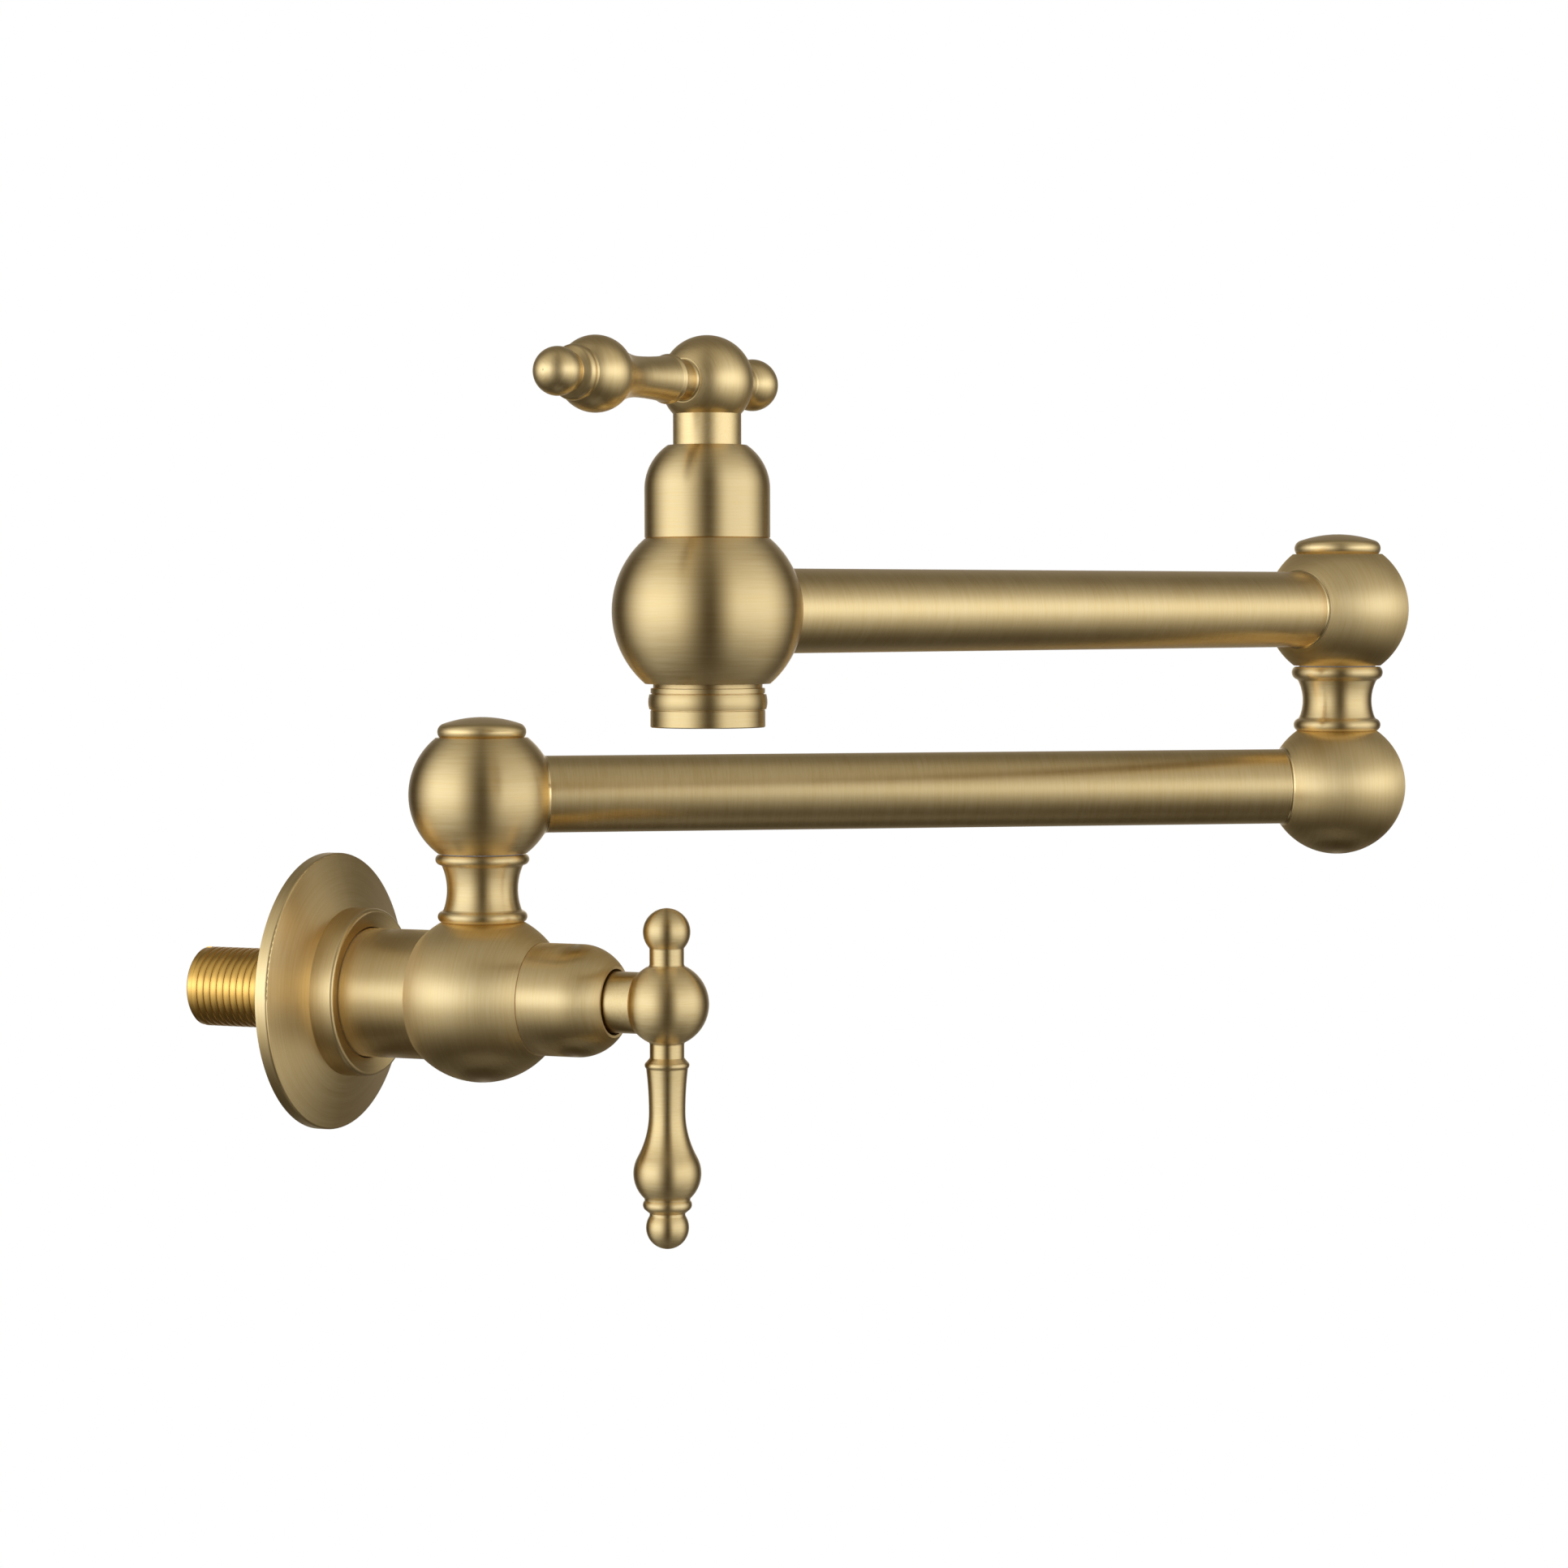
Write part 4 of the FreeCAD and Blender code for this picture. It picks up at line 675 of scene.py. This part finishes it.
def honeycomb_tree(material):
    """Six-sided cells in a round rim, on two oblong lattices half a step apart."""
    graph = GeometryGraph("Honeycomb", {
        "Radius": 0.009, "Pitch": 0.0018, "Wall": 0.0003, "Depth": 0.0008, "Rows": 9})
    pitch = graph.given("Pitch")
    rows = graph.given("Rows")
    radius = graph.given("Radius")
    depth = graph.given("Depth")
    wall = graph.given("Wall")
    row_step = pitch * math.sqrt(3)
    lattices = []
    for step_share in (0.0, 0.5):
        lattice = graph.add("GeometryNodeMeshGrid", None, {
            "Size X": pitch * (rows - 1), "Size Y": row_step * (rows - 1),
            "Vertices X": rows, "Vertices Y": rows})
        shift = graph.add("ShaderNodeCombineXYZ", None, {
            "X": pitch * step_share, "Y": row_step * step_share})
        lattices.append(graph.add(
            "GeometryNodeTransform", None, {"Geometry": lattice, "Translation": shift}))
    middles = graph.add("GeometryNodeJoinGeometry", None, {"Geometry": lattices})
    reach = graph.vector("LENGTH", graph.add("GeometryNodeInputPosition"), output="Value")
    rim_margin = pitch * 0.45
    outside = graph.add(
        "FunctionNodeCompare", {"data_type": "FLOAT", "operation": "GREATER_THAN"},
        {0: reach, 1: radius - rim_margin})
    kept = graph.add(
        "GeometryNodeDeleteGeometry", {"domain": "POINT"},
        {"Geometry": middles, "Selection": outside})
    cell_line = graph.add(
        "GeometryNodeCurvePrimitiveCircle", None,
        {"Resolution": 6, "Radius": pitch / math.sqrt(3)})
    bar = graph.add(
        "GeometryNodeCurvePrimitiveQuadrilateral", None, {"Width": wall, "Height": depth})
    cell = graph.add("GeometryNodeCurveToMesh", None, {
        "Curve": cell_line, "Profile Curve": bar})
    turned = graph.add("GeometryNodeTransform", None, {
        "Geometry": cell, "Rotation": (0.0, 0.0, math.radians(30))})
    cells = graph.add(
        "GeometryNodeInstanceOnPoints", None, {"Points": kept, "Instance": turned})
    half_rim = wall * 0.8
    rim_line = graph.add(
        "GeometryNodeCurvePrimitiveCircle", None,
        {"Resolution": 96, "Radius": radius - half_rim})
    rim_bar = graph.add(
        "GeometryNodeCurvePrimitiveQuadrilateral", None,
        {"Width": half_rim * 2, "Height": depth})
    rim = graph.add("GeometryNodeCurveToMesh", None, {
        "Curve": rim_line, "Profile Curve": rim_bar})
    both = graph.add("GeometryNodeJoinGeometry", None, {"Geometry": [cells, rim]})
    graph.close(both, material)
    return graph


# ---------------------------------------------------------------- operators


class PotFillerOperator(bpy.types.Operator):
    """Base of the pieces' operators."""

    bl_options = {"REGISTER", "UNDO"}

    def execute(self, context):
        self.make(context.scene.pot_filler_sizes)
        return {"FINISHED"}


class POTFILLER_OT_wall_side(PotFillerOperator):
    """Finishes flange, neck, wall valve and their hidden seals"""

    bl_idname = "potfiller.wall_side"
    bl_label = "Wall valve and flange"

    def make(self, sizes):
        gold = brushed_gold(
            "Gold, brushed round the inlet", WALL_CENTRE, OUT_OF_WALL, LEVEL)
        dress(gold, "inlet_neck", "valve_body", "valve_bonnet")
        dress(brushed_gold("Gold of the wall hub", WALL_HUB, UP), "valve_handle_hub")
        plate = brushed_gold(
            "Gold of the flange", WALL_CENTRE, OUT_OF_WALL, EVEN, slope=2.0)
        dress(plate, "wall_flange")
        brass = bare_brass("Bare brass of the wall valve", WALL_CENTRE, OUT_OF_WALL)
        dress(brass, "valve_cartridge_sleeve", "valve_spindle")
        dress(black_rubber("Rubber at the wall"), "wall_gasket", "flange_o_ring",
              "valve_cartridge_seal", "valve_spindle_o_ring")
        dress(valve_ceramic("Ceramic of the wall valve"), "valve_fixed_disc",
              "valve_moving_disc")
        dress(moulded_plastic("Fibre of the nipple's washer"), "nipple_washer")


class POTFILLER_OT_inlet_nipple(PotFillerOperator):
    """Cuts the pipe thread and the hexagon key socket of the inlet's nipple"""

    bl_idname = "potfiller.inlet_nipple"
    bl_label = "Inlet nipple and thread"

    def make(self, sizes):
        low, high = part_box("inlet_nipple")
        crest = (high.x - low.x) / 2
        root = crest - sizes.pipe_thread_depth
        tail, nose = high.y, low.y
        bore = 6.5 * MM
        key = hexagon_reach(14.0 * MM)
        key_end = tail - 12.0 * MM
        key_cone = 0.8 * MM
        tail_chamfer = 0.35 * MM
        nose_chamfer = 1.0 * MM
        brass = bare_brass("Bare brass of the inlet", WALL_CENTRE, OUT_OF_WALL)
        rows = [
            (key, -tail), (root - tail_chamfer, -tail), (root, tail_chamfer - tail),
            (root, -nose - nose_chamfer), (root - nose_chamfer, -nose), (bore, -nose),
            (bore, -key_end + key_cone), (key, -key_end)]
        place = place_on(WALL_CENTRE, OUT_OF_WALL)
        core = softened(turned_mesh("nipple_core", rows, place, sides=120))
        new_piece("nipple_core", core, brass, WALL_BODY, ["inlet_nipple"])
        short_of_tail = 0.9 * MM
        past_wall_face = 1.2 * MM
        start = Matrix.Translation((0, 0, -tail + short_of_tail))
        thread = grown_mesh("nipple_thread", screw_thread_tree(brass), {
            "Core radius": root, "Ridge": sizes.pipe_thread_depth,
            "Pitch": sizes.pipe_thread_pitch,
            "Length": tail - short_of_tail + past_wall_face,
            "Steps": sizes.thread_steps, "Fade": 0.03}, place @ start)
        thread = softened(thread, sharpest=40)
        new_piece("nipple_thread", thread, brass, WALL_BODY)


class POTFILLER_OT_swivels(PotFillerOperator):
    """Finishes both swivels: posts, balls, caps and what turns inside"""

    bl_idname = "potfiller.swivels"
    bl_label = "Swivels"

    def make(self, sizes):
        riser = brushed_gold("Gold, brushed round the riser", RISER, UP)
        dress(riser, "riser_post", "lower_swivel_ball")
        dress(brushed_gold("Gold of the lower cap", RISER, UP, EVEN), "lower_swivel_cap")
        elbow = brushed_gold("Gold, brushed round the elbow", ELBOW, UP)
        dress(elbow, "elbow_post")
        dress(brushed_gold("Gold of the upper cap", ELBOW, UP, EVEN), "upper_swivel_cap")
        base = brushed_gold(
            "Gold, brushed round the lower arm's ball", ELBOW_BASE, LOWER_ARM_WAY, LEVEL)
        dress(base, "elbow_base_ball")
        ball = brushed_gold(
            "Gold, brushed round the upper arm's ball", ELBOW, UPPER_ARM_WAY, LEVEL)
        dress(ball, "upper_swivel_ball")
        dress(black_rubber("Rubber in the swivels"), "riser_o_rings", "elbow_o_rings")
        dress(moulded_plastic("Plastic of the thrust washers"), "riser_thrust_washer",
              "elbow_thrust_washer")
        dress(bare_brass("Bare brass of the riser's nut", RISER, UP), "riser_nut")
        dress(bare_brass("Bare brass of the elbow's nut", ELBOW, UP), "elbow_nut")


# a root bead's section, in its own widths: out from the tube's side, and on from the ball's
BEAD_SECTION = ((-1.0, -1.0), (1.0, -1.0), (0.9, 0.12), (0.3, 0.5), (0.0, 1.5), (-1.0, 1.5))
BEAD_POLISH = 0.14


class POTFILLER_OT_arm_tubes(PotFillerOperator):
    """Finishes both arm tubes and lays the bead where each enters its balls"""

    bl_idname = "potfiller.arm_tubes"
    bl_label = "Arm tubes"

    def make(self, sizes):
        low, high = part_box("lower_arm_tube")
        tube = (high.z - low.z) / 2
        lower = brushed_gold(
            "Gold, brushed round the lower arm", RISER, LOWER_ARM_WAY, EVEN)
        upper = brushed_gold(
            "Gold, brushed round the upper arm", ELBOW, UPPER_ARM_WAY, EVEN)
        dress(lower, "lower_arm_tube")
        dress(upper, "upper_arm_tube")
        lower_bead = brushed_gold(
            "Gold of the lower arm's beads", RISER, LOWER_ARM_WAY, EVEN, polish=BEAD_POLISH)
        upper_bead = brushed_gold(
            "Gold of the upper arm's beads", ELBOW, UPPER_ARM_WAY, EVEN, polish=BEAD_POLISH)
        swivel_ball = 17.15 * MM
        elbow_ball = 16.5 * MM
        outlet_ball = 20.0 * MM
        roots = (
            ("lower_arm_root", RISER, LOWER_ARM_WAY, swivel_ball, lower_bead, LOWER_ARM),
            ("lower_arm_end", ELBOW_BASE, -LOWER_ARM_WAY, elbow_ball, lower_bead, LOWER_ARM),
            ("upper_arm_root", ELBOW, UPPER_ARM_WAY, swivel_ball, upper_bead, UPPER_ARM),
            ("upper_arm_end", OUTLET, -UPPER_ARM_WAY, outlet_ball, upper_bead, UPPER_ARM))
        bead = sizes.root_bead
        for name, centre, way, ball, material, body in roots:
            seat = math.sqrt(ball ** 2 - (tube + bead) ** 2)
            section = [(tube + bead * out, seat + bead * on) for out, on in BEAD_SECTION]
            rows = rounded_rows(section, bead * 0.4)
            mesh = softened(turned_mesh(name, rows, place_on(centre, way)), sharpest=60)
            new_piece(name, mesh, material, body)


class POTFILLER_OT_outlet_side(PotFillerOperator):
    """Finishes the outlet's ball, bonnet, hub and cartridge, and the aerator's core"""

    bl_idname = "potfiller.outlet_side"
    bl_label = "Outlet valve"

    def make(self, sizes):
        gold = brushed_gold("Gold, brushed round the outlet", OUTLET, UP)
        dress(gold, "outlet_body", "outlet_bonnet")
        hub = brushed_gold("Gold of the outlet hub", OUTLET_HUB, OUTLET_LEVER_WAY, EVEN)
        dress(hub, "outlet_handle_hub")
        brass = bare_brass("Bare brass of the outlet valve", OUTLET, UP)
        dress(brass, "outlet_cartridge_sleeve", "outlet_spindle")
        dress(black_rubber("Rubber at the outlet"), "outlet_cartridge_seal",
              "outlet_spindle_o_ring", "aerator_washer")
        dress(valve_ceramic("Ceramic of the outlet valve"), "outlet_fixed_disc",
              "outlet_moving_disc")
        dress(moulded_plastic("Plastic of the aerator's core"), "aerator_core")


# the aerator's ring: radius and height from the outlet ball's centre, in millimetres
MOUTH_SECTION = (
    (8.8, -24.2), (11.8, -24.2), (12.0, -24.0), (12.0, -20.75), (11.88, -20.62),
    (11.88, -20.48))
SCREWED_IN_SECTION = (
    (11.72, -17.22), (11.72, -17.12), (11.95, -17.02), (11.95, -16.1), (11.85, -16.0),
    (11.42, -16.0), (11.42, -10.4), (9.6, -10.4), (9.6, -22.4), (8.8, -22.4))
BULGE_BOTTOM, BULGE_MIDDLE, BULGE_TOP = -20.4, -18.85, -17.3
BULGE_RADIUS = 12.45
BULGE_ARC = 5.0
BULGE_STEPS = 12


def bulge_section():
    """The round band between the ring's mouth and its thread."""
    section = []
    for step in range(BULGE_STEPS + 1):
        height = BULGE_BOTTOM + (BULGE_TOP - BULGE_BOTTOM) * step / BULGE_STEPS
        rise = math.sqrt(BULGE_ARC ** 2 - (height - BULGE_MIDDLE) ** 2)
        section.append((BULGE_RADIUS - BULGE_ARC + rise, height))
    return section


class POTFILLER_OT_aerator(PotFillerOperator):
    """Turns the aerator's banded housing and fills its mouth with a honeycomb"""

    bl_idname = "potfiller.aerator"
    bl_label = "Aerator"

    def make(self, sizes):
        gold = brushed_gold("Gold of the aerator", OUTLET, UP)
        section = [*MOUTH_SECTION, *bulge_section(), *SCREWED_IN_SECTION]
        rows = [(radius * MM, height * MM) for radius, height in section]
        housing = turned_mesh("aerator_ring", rows, place_on(OUTLET, UP), sides=120)
        new_piece("aerator_ring", softened(housing), gold, UPPER_ARM,
                  ["aerator_housing"])
        steel = stainless("Stainless honeycomb", OUTLET, UP)
        low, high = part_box("aerator_screen")
        comb = grown_mesh("aerator_honeycomb", honeycomb_tree(steel), {
            "Radius": (high.x - low.x) / 2, "Pitch": sizes.honeycomb_pitch,
            "Wall": sizes.honeycomb_wall, "Depth": high.z - low.z, "Rows": 13},
            place_on(Vector((OUTLET.x, OUTLET.y, (low.z + high.z) / 2)), UP))
        new_piece("aerator_honeycomb", softened(comb), steel, UPPER_ARM,
                  ["aerator_screen"])


class POTFILLER_OT_levers(PotFillerOperator):
    """Finishes both levers with their small end balls"""

    bl_idname = "potfiller.levers"
    bl_label = "Levers"

    def make(self, sizes):
        wall = brushed_gold("Gold, brushed round the wall lever", WALL_HUB, DOWN)
        dress(wall, "valve_lever", "valve_lever_finial")
        outlet = brushed_gold(
            "Gold, brushed round the outlet lever", OUTLET_HUB, OUTLET_LEVER_WAY, EVEN,
            slope=1.5)
        dress(outlet, "outlet_lever", "outlet_lever_finial")


def screw_rows(key):
    """A headless screw with a key socket: each height is counted from the handle's axis."""
    low, high = 2.5 * MM, 6.6 * MM
    radius = 1.98 * MM
    chamfer = 0.3 * MM
    socket_depth = 1.6 * MM
    drilled_depth = 1.9 * MM
    return [
        (0, low), (radius - chamfer, low), (radius, low + chamfer),
        (radius, high - chamfer), (radius - chamfer, high),
        (key, high), (key, high - socket_depth), (0, high - drilled_depth)]


class POTFILLER_OT_handle_screws(PotFillerOperator):
    """Makes the socket screws that clamp both handles"""

    bl_idname = "potfiller.handle_screws"
    bl_label = "Handle screws"

    def make(self, sizes):
        for node, hub, axis, body in (
                ("valve_handle_screw", WALL_HUB, OUT_OF_WALL, INLET_HANDLE),
                ("outlet_handle_screw", OUTLET_HUB, UP, OUTLET_HANDLE)):
            centre = box_centre(node)
            from_axis = centre - hub
            from_axis -= axis * from_axis.dot(axis)
            way = from_axis.normalized()
            start = centre - way * from_axis.length
            steel = stainless("Steel of " + node, start, way)
            rows = screw_rows(hexagon_reach(sizes.screw_key))
            place = place_on(start, way)
            mesh = softened(turned_mesh(node + "_head", rows, place, sides=48))
            new_piece(node + "_head", mesh, steel, body, [node])


# ---------------------------------------------------------------- studio


WHITE = (1.0, 1.0, 1.0)
# where a tall light fades in and out again, in degrees to the camera's right or left
RIGHT_BOX = ((5.0, 42.0), (75.0, 135.0))
LEFT_BOX = ((-3.0, 48.0), (70.0, 130.0))
RIGHT_SHARE, LEFT_SHARE = 0.9, 1.08
# where what stands behind the object begins, in degrees from the camera's side
CARD_EDGE = (164.0, 172.0)
REAR_EDGE = (138.0, 162.0)
# heights between which a light fades, each the sine of an elevation
CARD_TOP = (0.12, 0.3)
REAR_TOP = (0.3, 0.8)
ABOVE_EDGE = (0.3, 0.95)
BOX_MIDDLE = 0.1
BOX_MIDDLE_EDGE = (0.05, 0.45)
BOX_FOOT = (-1.0, -0.35)
SURROUND_FOOT = (-0.7, 0.1)
COOL_TINT = (0.0, 0.06, 0.2)


def tall_light_level(graph, height):
    """How bright the tall lights are at a height: a bright middle in a wide soft rest."""
    middle_share, fall_off = 0.35, 0.95
    off_middle = abs(height - BOX_MIDDLE)
    rest = (1 - fall_off * off_middle).largest(0.0)
    middle = 1 - graph.smooth_step(off_middle, *BOX_MIDDLE_EDGE)
    level = rest * (1 - middle_share) + middle_share * middle
    return level * graph.smooth_step(height, *BOX_FOOT)


def studio_world(studio):
    """Tall soft lights on both sides, weak ones above and behind, and a white card behind.

    The camera itself sees plain white all round.
    """
    world = bpy.data.worlds.new("Studio")
    bpy.context.scene.world = world
    world.use_nodes = True
    world.node_tree.nodes.clear()
    graph = Graph(world.node_tree)
    turn = studio.camera_turn
    to_camera = (-math.sin(turn), -math.cos(turn), 0.0)
    to_right = (math.cos(turn), -math.sin(turn), 0.0)
    way = graph.add("ShaderNodeTexCoord", output="Generated")
    ahead = graph.vector("DOT_PRODUCT", way, to_camera, output="Value")
    right = graph.vector("DOT_PRODUCT", way, to_right, output="Value")
    height = graph.vector("DOT_PRODUCT", way, (0.0, 0.0, 1.0), output="Value")
    bearing = right.maths("ARCTAN2", right, ahead) * math.degrees(1)
    right_box = graph.between(bearing, *RIGHT_BOX) * RIGHT_SHARE
    left_box = graph.between(bearing * -1.0, *LEFT_BOX) * LEFT_SHARE
    boxes = (right_box + left_box) * tall_light_level(graph, height) * studio.softbox
    above = graph.smooth_step(height, *ABOVE_EDGE) * studio.top_light
    off_camera, off_level = abs(bearing), abs(height)
    card = graph.smooth_step(off_camera, *CARD_EDGE)
    card = card * (1 - graph.smooth_step(off_level, *CARD_TOP))
    rear = graph.smooth_step(off_camera, *REAR_EDGE) * studio.rear_light
    rear = rear * (1 - graph.smooth_step(off_level, *REAR_TOP))
    darker_below = 0.2
    dim = (1 - darker_below) + darker_below * graph.smooth_step(height, *SURROUND_FOOT)
    plain = graph.vector("SCALE", WHITE, scale=boxes + above + rear.largest(card))
    cool = graph.vector("SCALE", COOL_TINT, scale=boxes * boxes)
    surround = graph.vector("SCALE", tuple(studio.surround), scale=dim)
    lights = graph.vector("ADD", plain, cool)
    everything = graph.vector("ADD", lights, surround)
    seen = graph.add("ShaderNodeLightPath", output="Is Camera Ray")
    room = graph.add("ShaderNodeBackground", None, {"Color": everything, "Strength": 1.0})
    white = graph.add(
        "ShaderNodeBackground", None, {"Color": with_alpha(WHITE), "Strength": 1.0})
    shown = graph.add("ShaderNodeMixShader", None, {0: seen, 1: room, 2: white})
    graph.add("ShaderNodeOutputWorld", None, {"Surface": shown})


def studio_floor(studio):
    """A plain floor well below the object, which glows pale for the camera alone."""
    half = studio.floor_size / 2
    mesh = bpy.data.meshes.new("floor")
    corners = [(-half, -half), (half, -half), (half, half), (-half, half)]
    middle = (box_centre("lower_arm_tube") + OUTLET) / 2
    mesh.from_pydata(
        [(middle.x + x, middle.y + y, studio.floor_height) for x, y in corners], [],
        [(0, 1, 2, 3)])
    floor = bpy.data.objects.new("floor", mesh)
    bpy.context.scene.collection.objects.link(floor)
    material, graph = new_material("Pale floor")
    mottle = cloud(graph, size=0.3, seed=2.0)
    paler = shaded(studio.floor_colour, 1.03)
    colour = graph.mixed_colours(mottle, studio.floor_colour, paler)
    matt = graph.add("ShaderNodeBsdfDiffuse", None, {"Color": colour})
    glow = graph.add(
        "ShaderNodeEmission", None, {"Color": with_alpha(WHITE), "Strength": 0.75})
    seen = graph.add("ShaderNodeLightPath", output="Is Camera Ray")
    both = graph.add("ShaderNodeAddShader", None, {0: matt, 1: glow})
    shown = graph.add("ShaderNodeMixShader", None, {0: seen, 1: matt, 2: both})
    graph.add("ShaderNodeOutputMaterial", None, {"Surface": shown})
    mesh.materials.append(material)


def studio_camera(studio):
    """The photograph's view."""
    turn, tilt, roll = studio.camera_turn, studio.camera_tilt, studio.camera_roll
    ahead = Vector((
        math.sin(turn) * math.cos(tilt), math.cos(turn) * math.cos(tilt), -math.sin(tilt)))
    right = Vector((math.cos(turn), -math.sin(turn), 0))
    above = right.cross(ahead)
    rolled_right = right * math.cos(roll) + above * math.sin(roll)
    rolled_above = above * math.cos(roll) - right * math.sin(roll)
    data = bpy.data.cameras.new("camera")
    data.sensor_width = 36.0
    data.lens = studio.lens
    data.clip_start = 0.05
    data.clip_end = 20.0
    camera = bpy.data.objects.new("camera", data)
    bpy.context.scene.collection.objects.link(camera)
    rotation = Matrix((rolled_right, rolled_above, -ahead)).transposed()
    camera.matrix_world = Matrix.Translation(studio.camera_place) @ rotation.to_4x4()
    bpy.context.scene.camera = camera


class POTFILLER_OT_stage(bpy.types.Operator):
    """Sets the camera, the studio light and the floor"""

    bl_idname = "potfiller.stage"
    bl_label = "Studio"

    def execute(self, context):
        studio = context.scene.pot_filler_studio
        context.scene.view_settings.view_transform = "Standard"
        studio_world(studio)
        studio_floor(studio)
        studio_camera(studio)
        return {"FINISHED"}


PIECES = (
    POTFILLER_OT_wall_side,
    POTFILLER_OT_inlet_nipple,
    POTFILLER_OT_swivels,
    POTFILLER_OT_arm_tubes,
    POTFILLER_OT_outlet_side,
    POTFILLER_OT_aerator,
    POTFILLER_OT_levers,
    POTFILLER_OT_handle_screws,
    POTFILLER_OT_stage,
)


class POTFILLER_PT_panel(bpy.types.Panel):
    """Lists the pieces and their settings in the sidebar"""

    bl_idname = "POTFILLER_PT_panel"
    bl_label = "Pot filler"
    bl_space_type = "VIEW_3D"
    bl_region_type = "UI"
    bl_category = "Pot filler"

    def draw(self, context):
        column = self.layout.column()
        for operator in PIECES:
            column.operator(operator.bl_idname)
        for name, group in SETTINGS.items():
            settings = getattr(context.scene, name)
            for label in group.__annotations__:
                column.prop(settings, label)


def register():
    for group in SETTINGS.values():
        bpy.utils.register_class(group)
    for name, group in SETTINGS.items():
        setattr(bpy.types.Scene, name, PointerProperty(type=group))
    for operator in PIECES:
        bpy.utils.register_class(operator)
    bpy.utils.register_class(POTFILLER_PT_panel)


def unregister():
    bpy.utils.unregister_class(POTFILLER_PT_panel)
    for operator in reversed(PIECES):
        bpy.utils.unregister_class(operator)
    for name in SETTINGS:
        delattr(bpy.types.Scene, name)
    for group in reversed(SETTINGS.values()):
        bpy.utils.unregister_class(group)


def main():
    register()
    for operator in PIECES:
        group, name = operator.bl_idname.split(".")
        getattr(getattr(bpy.ops, group), name)()


if __name__ == "__main__":
    main()
